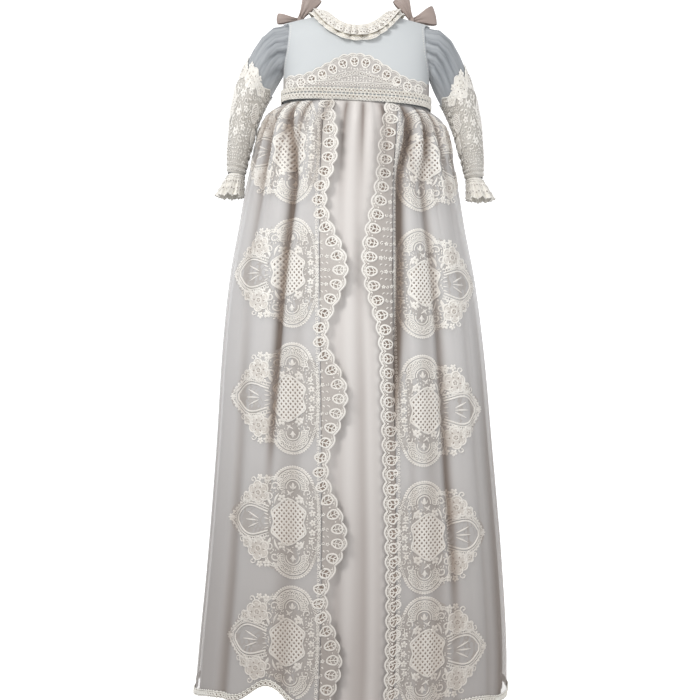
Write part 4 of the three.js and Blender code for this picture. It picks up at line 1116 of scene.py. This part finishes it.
def border_filling(t, rng, k, start, room, middle, pitch):
    """Between the motif and the beads: buds and small scrolls where there is room."""
    n = int(room / 7) + 1
    for j in range(n):
        u = start + (j + 0.5) * room / n
        if (k + j) % 2:
            at = (u, middle + rng.uniform(-1, 1))
            flower(t, at, min(3.6, room / n * 0.48), 5, rng.uniform(0, 1), 0.9, False)
        else:
            scroll(t, (u, middle), min(3.4, room / n * 0.45), rng.uniform(0, 360), 280, 1.3, 0.9)
        leaf(t, (u - 1.5, middle - pitch / 2 - 1.5), (u + 1.8, middle - pitch / 2 + 1.2), 1.7, 0.9, 0.2, 5)


def border_threads(side):
    """Edge cord, eyelet motifs, spokes and filling of a border. u is the arc from the middle, v height."""
    t = Threads()
    rng = np.random.default_rng(7 + side)
    pitch = (WAIST - HEM) / SCALLOPS
    bead = 5.2
    shares = np.linspace(0, 1, SCALLOPS * 7 + 1)
    z = mix(WAIST, HEM, shares)
    edge = free_edge(side, z, shares)
    t.cord(np.column_stack([edge + 0.6, z]), 2.7, 1.5)
    t.cord(np.column_stack([edge + 3.4 + 0.8 * (1 - np.abs(np.sin(PI * SCALLOPS * shares))), z]), 0.9, 0.7)
    seam = SEAM_ARC[side] + 4
    for k in range(SCALLOPS):
        middle = WAIST - (k + 0.5) * pitch
        at, above, below = (float(along(EDGES[side], 1, middle + step)) for step in (0, 6, -6))
        t.put(EGG, (at + 13.2, middle), turn=PI - math.atan((below - above) / -12), scale=0.98)
        for b in (-4.6, 0, 4.6):
            start = np.array([at + 5.6, middle + b * 0.9])
            leaf(t, start, start + (-3.2, b * 0.22), 1.5, 0.9, 0, 4)
        t.dome((at + 9.5, middle - pitch / 2), 1.5, 1.5, 0, 0.9, n=6)
        room = seam - (at + 21)
        if room > 3:
            border_filling(t, rng, k, at + 23, room, middle, pitch)
    for k in range(int((WAIST - HEM) / bead)):
        t.ring((seam, WAIST - 4 - k * bead), 1.5, 1.15, 0.95, n=7)
    return t


def on_over(side, base=(0, 0)):
    """Arc length and height, from a base, to points on the overskirt and its border."""
    seam = SEAM_ARC[side] - 1
    top = WAIST - SEAM_GAP

    def onto(u, v, h):
        u, v = u + base[0], v + base[1]
        angle = side * angle_at_arc(v, u)
        column = clamp((seam - u) / np.maximum(seam - along(EDGES[side], 1, v), 1), 0, 1.15)
        lift = along(EDGES[side], 2, v) * column * column
        on_border = mix(top, hem_height(angle), clamp((top - v) / (top - HEM), 0, 1))
        z = np.where(u < seam, on_border, v)
        return skirt_point(angle, z, over_out(angle, v) + OUTER_FACE + soft_creases(angle, z) + lift + h)
    return onto


def lay_medallion(side, solid, name, middle, seed):
    base = SEAM_ARC[side] + MEDALLION_INSET

    def drop(points):
        v = points[:, 1] + middle
        angle = side * angle_at_arc(v, points[:, 0] + base)
        return (v > WAIST - 2) | (v < hem_height(angle) + 12)

    # The painted shade of the skirt, carried onto the lace.
    def shade(u, v):
        return painted_skirt_shade(side * angle_at_arc(v + middle, u + base), v + middle)
    lace_object(name, medallion_design(seed), on_over(side, (base, middle)),
                [*LACE, LOOKS["medallion_net"], LOOKS["petal_filling"]], flip=side > 0, drop=drop,
                shade=shade, stands_for=solid)


def build_lace():
    for side, name in SIDES:
        # The painted shade of the skirt, a little weaker, carried onto the border's threads.
        def painted_border_shade(u, v):
            return painted_skirt_shade(side * angle_at_arc(v, np.maximum(u, SEAM_ARC[side] - 10)), v) * 0.8
        lace_object("border_threads_" + name, border_threads(side), on_over(side), LACE, flip=side > 0,
                    shade=painted_border_shade)
        for k, middle in enumerate(MEDALLIONS[side]):
            lay_medallion(side, f"medallion_{name}_{k + 1}", f"medallion_lace_{name}_{k + 1}", middle,
                          20 + k + (10 if side > 0 else 0))


# Bodice details.
STITCH = 3.6  # from one running stitch to the next
YOKE_FOOT = -112.5
YOKE_REACH = 0.97  # how far the yoke's net runs towards the side seams
EYELET_ROW = -108.8  # height of the row of eyelets along the yoke's foot


def on_bodice(back=False, base=2.2):
    def onto(u, v, h):
        y = bodice_depth(u, v) + SEAM_GAP / 2 + base + h
        return tilted(np.stack([u, y if back else -y, v], -1))
    return onto


def arch_height(x):
    return along(ARCH, 1, np.abs(x))


def yoke_edge(x):
    """The scalloped upper edge of the yoke's lace."""
    return arch_height(x) + 2.5 * np.abs(np.sin(PI * x / 12.5))


def inner_bow(x):
    """An inner row that bows up in the middle, under the arch."""
    return -101.6 + 9.5 * bell(x, 26)


def arch_line():
    """Points along the arch, through the middle of its eyelet motifs."""
    x = np.linspace(-99, 99, 121)
    line = np.column_stack([x, arch_height(x)])
    run = unit(np.gradient(line, axis=0))
    return line + np.stack([run[:, 1], -run[:, 0]], 1) * 10.5


def spaced(line, spacing, start):
    s = arc_lengths(line)
    at = np.arange(start, s[-1], spacing)
    return np.column_stack([np.interp(at, s, line[:, 0]), np.interp(at, s, line[:, 1])])


def yoke_motifs(t):
    """Eyelet motifs across the arch, each with three small leaves above it."""
    line = arch_line()
    for c in spaced(line, 16.6, 4.0):
        near = line[np.argmin(np.hypot(*(line - c).T)) - 1]
        run = unit(c - near) if np.hypot(*(c - near)) > 0.01 else np.array([1.0, 0.0])
        up = np.array([-run[1], run[0]])
        t.put(EGG, c, turn=math.atan2(run[1], run[0]) + PI / 2, scale=0.86)
        for b in (-3.4, 0, 3.4):
            leaf(t, c + run * b + up * 7.6, c + run * b + up * 9.6, 1.2, 0.8, 0, 4)


def yoke_filling(t):
    rng = np.random.default_rng(3)
    for x in np.arange(-97, 98, 4.3):
        for z in np.arange(-102.8, float(arch_height(x)) - 18.5, 4.2):
            if abs(x) < 62 and abs(z - inner_bow(x)) < 4.4:
                continue
            d = direction(rng.uniform(0, PI)) * 1.9
            leaf(t, (x - d[0], z - d[1]), (x + d[0], z + d[1]), 1.7, 0.8, 0.2, 5)


def build_yoke():
    col, share = np.meshgrid(np.linspace(-1, 1, 150), np.linspace(0, 1, 18))
    x = bodice_edge(YOKE_FOOT) * np.sin(col * PI / 2)
    P = tilted(bodice_at(col * YOKE_REACH, mix(yoke_edge(x), YOKE_FOOT, share), False, 2.1))
    grid_object("yoke_net", P, [LOOKS["yoke_net"]], "lace", stands_for="yoke_lace")
    t = Threads()
    xs = np.linspace(-101, 101, 300)
    t.cord(np.column_stack([xs, yoke_edge(xs) - 0.6]), 2.0, 1.3)
    t.cord(np.column_stack([xs, yoke_edge(xs) - 3.2]), 0.9, 0.8)
    yoke_motifs(t)
    for x in np.arange(-97, 98, 5.0):
        t.eyelet((x, EYELET_ROW), 1.65, 1.2, 0.8)
    xs = np.linspace(-60, 60, 61)
    for step in (2.9, -2.9):
        t.cord(np.column_stack([xs, inner_bow(xs) + step]), 1.1, 1.0)
    for x in np.arange(-57, 58, 4.8):
        t.ring((x, inner_bow(x)), 1.6, 1.2, 1.1, n=8)
        # A dark disc of painted shade in each eyelet.
        t.dome((x, inner_bow(x)), 0.85, 0.85, 0, 0.25, PAINTED_HOLE_SHADE, 5, 0.2)
    t.cord([(x, -105.4) for x in np.linspace(-100, 100, 60)], 1.2, 0.9)
    yoke_filling(t)
    lace_object("yoke_threads", t, on_bodice(), LACE)


def waist_path():
    """The line round the waist from lap to lap, its lengths and its outward directions."""
    parts = ((np.linspace(-LAP_SHARE / 2, -1, 60)[:-1], True), (np.linspace(-1, 1, 180), False),
             (np.linspace(1, LAP_SHARE * 1.4, 60)[1:], True))
    line = np.concatenate([bodice_at(columns, -120.0, back)[:, :2] for columns, back in parts])
    run = unit(np.gradient(line, axis=0))
    out = np.stack([run[:, 1], -run[:, 0]], 1)
    for _ in range(3):
        out[1:-1] = (out[:-2] + out[1:-1] * 2 + out[2:]) / 4
    return line, arc_lengths(line), unit(out)


WAIST_LINE, WAIST_S, WAIST_OUT = waist_path()


def on_waist(u, v, h):
    x, y = (np.interp(u, WAIST_S, WAIST_LINE[:, k]) + np.interp(u, WAIST_S, WAIST_OUT[:, k]) * (2.1 + h)
            for k in (0, 1))
    return tilted(np.stack([x, y, v], -1))


def braid_pattern(length, low, high, pitch):
    """A lace trim: a row of eyelets between two twisted cords, with small picots outside them."""
    t = Threads()
    middle, half = (low + high) / 2, (high - low) / 2
    u = np.linspace(0.5, length - 0.5, int(length / 1.6))
    twist = u * 2 * PI / 3.2
    for edge in (-1, 1):
        v = middle + edge * (half - 0.6) + 0.35 * np.sin(twist)
        t.cord(np.column_stack([u, v]), 1.1, 1.3 + 0.5 * np.sin(twist + edge))
    count = int((length - 2) / pitch)
    for k in range(count):
        at = 1 + (k + 0.5) * (length - 2) / count
        t.ring((at, middle), pitch * 0.36, 1.25, 1.9, n=9, squash=0.92)
        # A dark disc of painted shade in the eyelet.
        t.dome((at, middle), pitch * 0.24, pitch * 0.2, 0, 0.35, PAINTED_HOLE_SHADE, 6)
        for edge in (-1, 1):
            t.dome((at + pitch / 2, middle + edge * half * 0.42), 0.8, 0.65, 0, 1.5, n=5)
            t.dome((at + pitch / 2, middle + edge * half * 0.02), 0.55, 0.5, 0, 1.1, n=5)
            t.dome((at, middle + edge * (half + 0.3)), 1.1, 0.8, 0, 1.3, n=6)
    return t


def build_trims():
    total = WAIST_S[-1]
    for part, top, foot in (("upper", -113.5, -120), ("lower", -122, -128.5)):
        u, v = np.meshgrid(np.linspace(0, total, 260), np.linspace(top - 0.6, foot + 0.6, 4))
        # The dark tape under the braid paints the shade seen between its threads.
        grid_object(f"waist_trim_{part}_tape", on_waist(u, v, 0.2), [LOOKS["braid_shade_ground"]], "braid")
        lace_object(f"waist_braid_{part}", braid_pattern(total, foot, top, 5.4), on_waist, BRAID,
                    slot="braid", stands_for=f"waist_trim_{part}")
    # A narrow shell edge under the lower braid, where the skirt is sewn on.
    t = Threads()
    for k in range(int(total / 4.4)):
        t.cord(arc_line((2.2 + k * 4.4, -128.4), 2.1, 180, 360, 6, 0.8), 1.1, 1.1)
    lace_object("waist_edging", t, on_waist, BRAID, slot="braid")


def stitch_row(name, places, onto, flip):
    t = Threads()
    for x, z in places:
        t.cord([(x, z - 1.0), (x, z + 1.0)], 0.7, 0.3, base=0.05)
    lace_object(name, t, onto, [LOOKS["lace_thread"]], flip=flip)


def build_stitches():
    """Small running stitches beside the armhole seams and along the lap of the back."""
    armholes = [(side * (float(bodice_edge(z)) - 2.6), z)
                for side in (-1, 1) for z in np.arange(-96, -14, STITCH)]
    lap = [(6.4, z) for z in np.arange(-108, -18, STITCH)]
    stitch_row("armhole_stitches_front", armholes, on_bodice(base=0.85), False)
    stitch_row("armhole_stitches_back", armholes, on_bodice(True, 0.85), True)
    stitch_row("lap_stitches", lap, on_bodice(True, 2.7), True)


BUTTON = [  # radius, height
    (0.0, 2.0), (1.3, 2.05), (1.6, 2.3), (3.2, 2.6), (4.1, 2.3), (4.5, 1.6), (4.2, 0.7), (3.6, 0.0),
    (0.0, 0.0)]


def build_buttons():
    n = 28
    turns = np.arange(n) * 2 * PI / n
    V = np.concatenate([np.column_stack([r * np.cos(turns), r * np.sin(turns), np.full(n, h)])
                        for r, h in BUTTON])
    for i in range(4):
        z = -31 - 24 * i
        # The button leans as the back does at its height.
        tilt = math.atan2(float(bodice_depth(0.0, z - 1) - bodice_depth(0.0, z + 1)), 2)
        c, s = math.cos(tilt), math.sin(tilt)
        y = float(bodice_depth(0.0, z)) + 3.9 + V[:, 2] * c + V[:, 1] * s
        P = np.column_stack([V[:, 0], y, z + V[:, 1] * c - V[:, 2] * s])
        bm = bmesh.new()
        vs = [bm.verts.new(p * MM) for p in P]
        for j in range(len(BUTTON) - 1):
            for k in range(n):
                after = (k + 1) % n
                corners = (j * n + k, (j + 1) * n + k, (j + 1) * n + after, j * n + after)
                bm.faces.new([vs[corner] for corner in corners])
        bmesh.ops.remove_doubles(bm, verts=bm.verts, dist=1e-6)
        bmesh.ops.recalc_face_normals(bm, faces=bm.faces)
        mesh = bpy.data.meshes.new(f"pearl_button_{i + 1}")
        bm.to_mesh(mesh)
        bm.free()
        link(f"pearl_button_{i + 1}", mesh, [LOOKS["button"]], "button", f"back_button_{i + 1}")


# Neck frill. Turns run round the neck from the middle of the back.
FRILL_START = math.asin(10 / NECK_HALF)
FRILL_END = 2 * PI - FRILL_START
FRILL_UNIT = 40  # millimetres of the drawing for one radian
FRILL_EYELETS = 84
LOW_LAYER = (1, 0)  # rate and shift of a layer's lobes
TOP_LAYER = (1.5, 0.8)


def neckline(turn):
    turn = np.asarray(turn, float)
    x = -NECK_HALF * np.sin(turn)
    back = np.cos(turn) > 0
    z = np.where(back, top_height(x, NECK_BACK), top_height(x, NECK_FRONT))
    depth = bodice_depth(x, z)
    return np.stack([x, np.where(back, depth, -depth), z], -1)


def bodice_normal(x, z, back):
    low = np.minimum(z, shoulder_height(x) - 0.5)
    sideways = bodice_depth(x + 0.5, low) - bodice_depth(x - 0.5, low)
    upwards = bodice_depth(x, low + 0.5) - bodice_depth(x, low - 0.5)
    return unit(np.stack([-sideways, np.where(back, 1.0, -1.0), -upwards], -1))


def frill_base(turn, reach, height):
    seam = neckline(turn)
    forward = unit(neckline(turn + 0.02) - neckline(turn - 0.02))
    normal = bodice_normal(seam[..., 0], seam[..., 2], seam[..., 1] > 0)
    away = unit(np.cross(forward, normal))
    return tilted(seam + away * np.asarray(reach)[..., None] + normal * np.asarray(height)[..., None])


def frill_wave(turn, layer):
    """1 at the crown of a lobe and 0 in the crease beside it."""
    phase = 12 * turn + 0.95 * np.sin(3 * turn) + 0.5 * np.sin(8 * turn + 1)
    return np.abs(np.cos(phase * layer[0] + layer[1]))


# Painted shade in the creases between a layer's lobes, growing towards the outer edge.
def painted_frill_shade(turn, share, strength, layer):
    return strength * (1 - frill_wave(turn, layer)) ** 1.3 * share ** 0.3


def low_frill(turn, reach, share, out=0.0):
    """The under layer of the frill: round lobes that stand up, with creases between them."""
    lobe = frill_wave(turn, LOW_LAYER) ** 0.7
    long = reach + 4.2 * share ** 2 * (lobe - 0.7)
    droop = np.maximum(long, 0) ** 2 / 130
    size = 5.2 + 1.2 * np.sin(5 * turn + 0.4)
    return frill_base(turn, long, 2.0 + size * share ** 0.8 * lobe - droop + out)


def top_frill(turn, reach, share, out=0.0):
    """The upper layer, whose lobes fall between those of the under layer."""
    lobe = frill_wave(turn, TOP_LAYER) ** 0.7
    long = reach + 3.8 * share ** 2 * (lobe - 0.7)
    size = 4.8 + 1.1 * np.sin(4 * turn + 2)
    up = 3.6 + 1.0 * (1 - share) + size * (0.25 + share) * lobe
    return frill_base(turn, long, up - np.maximum(long, 0) ** 2 / 150 + out)


def build_frill():
    turn, share = np.meshgrid(np.linspace(FRILL_START, FRILL_END, 620), np.linspace(0, 1, 12))
    P = low_frill(turn, mix(-1.0, 18.5, share), share)
    grid_object("neck_frill_lower", P, [LOOKS["cream_lace"]], "lace", flip=True,
                shade=painted_frill_shade(turn, share, 0.9, LOW_LAYER), stands_for="neck_frill")
    P = top_frill(turn, mix(-5.5, 12.5, share), share)
    grid_object("neck_frill_upper", P, [LOOKS["frill_lace"]], "lace", flip=True,
                shade=painted_frill_shade(turn, share, 0.8, TOP_LAYER))
    places = mix(FRILL_START, FRILL_END, (np.arange(FRILL_EYELETS) + 0.5) / FRILL_EYELETS) * FRILL_UNIT
    u = np.linspace(FRILL_START, FRILL_END, 560) * FRILL_UNIT
    upper = Threads()
    for at in places:
        upper.eyelet((at, 8.4), 1.6, 1.25, 0.9, 0.8, (8, 5), 0.25)
        upper.eyelet((at + 1.5, 3.6), 1.2, 1.0, 0.6, 0.8, (7, 5), 0.25)
    for v, width, height in ((12.2, 1.3, 0.9), (-1.2, 1.1, 1.0)):
        upper.cord(np.column_stack([u, np.full(len(u), v)]), width, height)
    lace_object("neck_frill_threads", upper,
                lambda u, v, h: top_frill(u / FRILL_UNIT, v, clamp((v + 5.5) / 18, 0, 1), h), LACE)
    lower = Threads()
    lower.cord(np.column_stack([u, np.full(len(u), 18.1)]), 1.5, 1.0)
    for at in places:
        lower.ring((at, 15.2), 1.3, 1.1, 0.8, n=7)
    lace_object("neck_frill_edge", lower,
                lambda u, v, h: low_frill(u / FRILL_UNIT, v, clamp((v + 1) / 19.5, 0, 1), h), BRAID)


# Sleeves: lace and cuffs.
def ring_table():
    """The way down the arm to each ring of the sleeve, and its radius."""
    rows = np.array(SLEEVE, float)
    half = np.linalg.norm(rows[:, :2] - rows[:, 2:4], axis=1) / 2
    return arc_lengths((rows[:, :2] + rows[:, 2:4]) / 2), (half + rows[:, 4]) / 2


RING_S, RING_R = ring_table()
RINGS = np.arange(len(RING_S))
INNER_STRIP = 0.25  # half the strip on the arm's inner side that has no embroidery, in radians


def ring_at(v):
    """The place among the rings at a way down the arm, and the radius there."""
    index = np.interp(v, RING_S, RINGS)
    return index, np.interp(index, RINGS, RING_R)


def on_sleeve(side):
    """u is the way round from the front's middle towards the arm's outer side, and v the way down the arm."""
    def onto(u, v, h):
        index, radius = ring_at(v)
        return sleeve_point(side, index, side * u / radius, 1.9 + h)
    return onto


def lace_top(turn):
    return 3.4 + 0.5 * np.abs(np.sin(3 * turn))


def sleeve_design(seed):
    t = Threads()
    top = float(np.interp(3.65, RINGS, RING_S))
    end = float(RING_S[-1]) - 1.5
    big_flower(t, (4, top + 11), 15.5, 0.3, 6)
    big_flower(t, (-20, top + 13), 9.5, 0.2, 5)
    big_flower(t, (31, top + 12), 11, 0.5, 6)
    flower(t, (17.5, top), 6, 5, 0.2)
    flower(t, (-10, top + 2), 5.4, 5, 0.9)
    for v in (top + 36, top + 62, top + 88):
        flower(t, (8, v), 6.2, 5, 0.3)
        flower(t, (-6, v - 9), 5.4, 5, 0.9)
        scroll(t, (19, v - 7), 6.0, 0, 310, 2.2)
        scroll(t, (-3, v + 6), 5.2, 150, -300, 2.0)
        leaf(t, (0, v - 2), (6, v - 12), 3, 1.1, 0.15)
        leaf(t, (14, v + 4), (20, v + 9), 3.2, 1.1, 0.1)
        leaf(t, (-12, v), (-5, v + 1), 3, 1.1, 0.1)
    net = Threads()
    net_window(net, 9.5, 22, (5.2, 6.0), 2.1)
    for u, down, scale in ((31, 56, 1.0), (-24, 50, 0.7), (-30, 84, 0.6)):
        t.put(net, (u, top + down), scale=scale)
    t.cord([(40, top + 30), (43, top + 56), (38, top + 84)], 1.8, 1.2)
    t.cord([(20, top + 32), (19, top + 56), (20, top + 80)], 1.6, 1.1)
    for v in np.arange(top + 28, end - 8, 12):
        for u in (44, 62, 80, 98, -36, -54, -72, -90):
            flower(t, (u, v + (4 if u % 4 else 0)), 4.4, 5, v)
            scroll(t, (u + 9, v - 3), 3.8, v * 40, 280, 1.6)
        scroll(t, (-16, v + 2), 4.2, v * 40, 280, 1.6)
    for u in np.arange(-106, 107, 4.4):
        t.ring((u, end - 3.5), 1.6, 1.25, 0.9, n=7)
        t.ring((u + 2, end - 10), 1.4, 1.1, 0.9, n=7)
    # The cord along the scalloped upper edge of the net, all round the arm.
    turn = np.linspace(INNER_STRIP - PI, PI - INNER_STRIP, 260)
    index = lace_top(turn) + 0.02
    radius = np.interp(index, RINGS, RING_R)
    t.cord(np.column_stack([turn * radius, np.interp(index, RINGS, RING_S)]), 1.7, 1.2)
    rng = np.random.default_rng(seed)
    fill_gaps(t, rng, np.arange(-112, 113, 4.2), np.arange(top + 4, end - 2, 4.2), 1.7, (1.3, 2.2),
              lambda at: abs(at[0] - 31) < 9 and abs(at[1] - top - 56) < 20)
    return t


def outside_sleeve_lace(points):
    _, radius = ring_at(points[:, 1])
    return (np.abs(points[:, 0]) > radius * (PI - INNER_STRIP)) | (points[:, 1] > RING_S[-1])


def build_sleeve_lace():
    for side, name in SIDES:
        share, turn = np.meshgrid(np.linspace(0, 1, 44), np.arange(96) * 2 * PI / 96, indexing="ij")
        P = sleeve_point(side, mix(lace_top(turn), 9.0, share), turn, 1.5)
        grid_object(f"sleeve_lace_{name}_net", P, [LOOKS["sleeve_net"]], "lace", closed=True,
                    stands_for="sleeve_lace_" + name)
        lace_object("sleeve_embroidery_" + name, sleeve_design(5 + side), on_sleeve(side),
                    [*LACE, LOOKS["painted_eyelet_shade"], LOOKS["braid_thread"]], flip=side > 0,
                    drop=outside_sleeve_lace)


CUFF_MIDDLE = (173.75, -229.0)
CUFF_SIZE = (11.25, 20.0)  # half the width and the depth at the wrist
CUFF_LENGTH = 29
CUFF_UNIT = 24  # millimetres of the drawing for one radian
CUFF_EYELETS = 27


def cuff_point(side, turn, share, out=0.0):
    turn, share = np.broadcast_arrays(np.asarray(turn, float), np.asarray(share, float))
    flare = 6.5 * share ** 0.8
    wave = 2.6 * share * np.cos(9 * turn) + 1.0 * share * np.sin(22 * turn + 1)
    x = CUFF_MIDDLE[0] + (CUFF_SIZE[0] + flare + wave + out) * np.sin(turn) + 0.3 * CUFF_LENGTH * share
    y = -(CUFF_SIZE[1] + flare + wave + out) * np.cos(turn)
    scallop = 1.6 * np.abs(np.sin(13.5 * turn)) * share ** 3
    z = CUFF_MIDDLE[1] - 1.7 - CUFF_LENGTH * share + 1.5 * share * np.cos(9 * turn) - scallop
    return tilted(np.stack([side * x, y, z], -1))


def cuff_threads():
    t = Threads()
    for k in range(CUFF_EYELETS):
        u = 2 * PI * (k + 0.5) / CUFF_EYELETS * CUFF_UNIT
        for v in (10.5, 20):
            t.ring((u, v), 1.7, 1.3, 0.8, n=8, squash=1.3)
            # A dark disc of painted shade in the eyelet.
            t.dome((u, v), 0.9, 1.2, 0, 0.2, PAINTED_HOLE_SHADE, 6, 0.2)
    u = np.linspace(0, 2 * PI, 217) * CUFF_UNIT
    for v, width, height in ((28.6, 1.5, 1.0), (1.6, 1.8, 1.4), (4.4, 1.3, 1.1)):
        t.cord(np.column_stack([u, np.full(len(u), v)]), width, height)
    return t


def build_cuffs():
    for side, name in SIDES:
        share, turn = np.meshgrid(np.linspace(0, 1, 12), np.arange(216) * 2 * PI / 216, indexing="ij")
        P = cuff_point(side, turn * side, share, 0.5)
        # The gathered edge goes on a little way up inside the sleeve.
        head = P[0] + 1.6 * (P[0] - P[1])
        P = np.concatenate([(head * 0.96 + head.mean(axis=0) * 0.04)[None], P])
        grid_object("cuff_lace_" + name, P, [LOOKS["frill_lace"]], "lace", closed=True,
                    stands_for="cuff_" + name)

        def onto(u, v, h):
            return cuff_point(side, side * u / CUFF_UNIT, v / CUFF_LENGTH, 0.7 + h)
        lace_object(f"cuff_{name}_threads", cuff_threads(), onto, LACE, flip=side < 0)


# Bows.
BOWS = [  # name, place of the knot, loops: name, angle, length, width, how far the loop opens
    ("left", (-84, 9, 1.8), (("inner", 60, 42, 28, 7), ("outer", 178, 34, 15, 6))),
    ("right", (81, 9, 2), (("inner", 118, 40, 24, 7), ("outer", 14, 36, 28, 7)))]


def ribbon_loop(knot, degrees, length, width, spread):
    """A band that runs out of the knot, folds over and comes back under itself."""
    a = math.radians(degrees)
    ahead = np.array([math.cos(a), 0, math.sin(a)])
    wide = np.array([-ahead[2], 0, ahead[0]])
    across, turn = np.meshgrid(np.linspace(-1, 1, 15), np.arange(56) * 2 * PI / 56, indexing="ij")
    far = 0.5 - 0.5 * np.cos(turn)
    half = width / 2 * mix(0.3, 1, smooth(far))
    crease = 1.1 * np.cos(across * 2.5 * PI) * (1 - far) ** 1.5
    belly = spread * np.sin(turn) * mix(0.55, 1, far) * (1 + 0.12 * np.cos(across * PI))
    reach = 2.6 + (length - 2.6) * far * (1 - 0.05 * across ** 2)
    depth = belly + crease * np.sign(np.sin(turn))
    return (knot + ahead * reach[..., None] + wide * (across * half)[..., None]
            + np.array([0, 1.0, 0]) * depth[..., None])


def build_bows():
    u, v = np.meshgrid(np.arange(28) * 2 * PI / 28, np.linspace(0, PI, 15))
    ridge = 1 + 0.06 * np.cos(6 * u)
    x = 4.1 * np.sin(v) * np.cos(u) * ridge
    y = 4.6 * np.sin(v) * np.sin(u) * ridge
    ball = np.stack([x, y, 5.2 * np.cos(v)], -1)
    for name, knot, loops in BOWS:
        shapes = [(part, ribbon_loop(np.array(knot, float), *sizes)) for part, *sizes in loops]
        for part, P in [*shapes, ("knot", ball + knot)]:
            grid_object(f"ribbon_{name}_{part}", P, [LOOKS["ribbon"]], "ribbon", closed=True,
                        stands_for=f"bow_{name}_{part}")


# Hem braid.
HEM_UNIT = 200  # millimetres of the drawing for one radian
BRAID_OUT = 1.6


def on_hem(u, v, h):
    angle = u / HEM_UNIT
    z = hem_height(angle) + v
    return skirt_point(angle, z, over_out(angle, z) + BRAID_OUT + soft_creases(angle, z) + h)


def build_hem():
    start = float(right_seam(np.array(HEM))) * HEM_UNIT
    end = (2 * PI + float(left_seam(np.array(HEM)))) * HEM_UNIT
    u, v = np.meshgrid(np.linspace(start, end, 420), np.linspace(8.6, 0.2, 4))
    # The dark tape under the braid paints the shade seen between its threads.
    grid_object("hem_braid_tape", on_hem(u, v, 0.0), [LOOKS["braid_shade_ground"]], "braid")
    lace_object("hem_braid_threads", braid_pattern(end - start, 0.0, 9.0, 6.6),
                lambda u, v, h: on_hem(u + start, v, h), BRAID, slot="braid", stands_for="hem_braid")


for build in (build_stage, build_light, build_skirt, build_borders, build_bodice, build_sleeves,
              build_lace, build_yoke, build_trims, build_stitches, build_buttons, build_frill,
              build_sleeve_lace, build_cuffs, build_bows, build_hem):
    build()


# Each piece of cloth with the size it was cut to, in metres, and what goes with it.
CUTS = [  # piece, width, length, area of the cut, how it is held, what it hangs from or lies on, pieces on it
    ("satin_front", 0.60, 0.85, 0.425, "gathered", "bodice_front", ()),
    ("satin_back", 0.60, 0.85, 0.425, "gathered", "bodice_back_left", ()),
    ("tulle_left", 0.26, 0.86, 0.215, "gathered", "bodice_front", ("medallion_lace_left_",)),
    ("tulle_right", 0.25, 0.86, 0.205, "gathered", "bodice_front", ("medallion_lace_right_",)),
    ("tulle_back", 0.62, 0.86, 0.500, "gathered", "bodice_back_left", ("hem_braid_",)),
    ("border_net_left", 0.042, 0.86, 0.0200, "hung", "overskirt_left", ("border_threads_left",)),
    ("border_net_right", 0.046, 0.86, 0.0205, "hung", "overskirt_right", ("border_threads_right",)),
    ("front_weave", 0.25, 0.14, 0.031, "hung", "bodice_back_left", ("armhole_stitches_front", "waist_")),
    ("left_back_weave", 0.135, 0.14, 0.0175, "hung", "bodice_front", ("lap_stitches",)),
    ("right_back_weave", 0.125, 0.14, 0.0165, "hung", "bodice_front", ("armhole_stitches_back",)),
    ("yoke_net", 0.22, 0.056, 0.0070, "laid", "bodice_front", ("yoke_threads",)),
    ("sleeve_tulle_left", 0.26, 0.22, 0.046, "gathered", "bodice_front", ()),
    ("sleeve_tulle_right", 0.26, 0.22, 0.046, "gathered", "bodice_front", ()),
    ("sleeve_lace_left_net", 0.24, 0.165, 0.030, "laid", "sleeve_left", ("sleeve_embroidery_left",)),
    ("sleeve_lace_right_net", 0.24, 0.165, 0.030, "laid", "sleeve_right", ("sleeve_embroidery_right",)),
    ("cuff_lace_left", 0.20, 0.030, None, "gathered", "sleeve_left", ("cuff_left_threads",)),
    ("cuff_lace_right", 0.20, 0.030, None, "gathered", "sleeve_right", ("cuff_right_threads",)),
    ("neck_frill_lower", 0.50, 0.0195, None, "gathered", "bodice_front", ("neck_frill_edge",)),
    ("neck_frill_upper", 0.50, 0.018, None, "gathered", "bodice_front", ("neck_frill_threads",)),
    ("ribbon_left_inner", 0.028, 0.085, 0.0020, "folded", "bodice_back_left", ("ribbon_left_knot",)),
    ("ribbon_left_outer", 0.015, 0.066, 0.0009, "folded", "bodice_back_left", ()),
    ("ribbon_right_inner", 0.024, 0.080, 0.0017, "folded", "bodice_back_right", ("ribbon_right_knot",)),
    ("ribbon_right_outer", 0.028, 0.070, 0.0017, "folded", "bodice_back_right", ()),
]


def declare_cloth():
    pieces = [o for o in bpy.data.objects if o.type == "MESH"]
    for name, width, length, area, held, carrier, lying in CUTS:
        on_it = [o for o in pieces if any(o.name.startswith(start) for start in lying)]


declare_cloth()
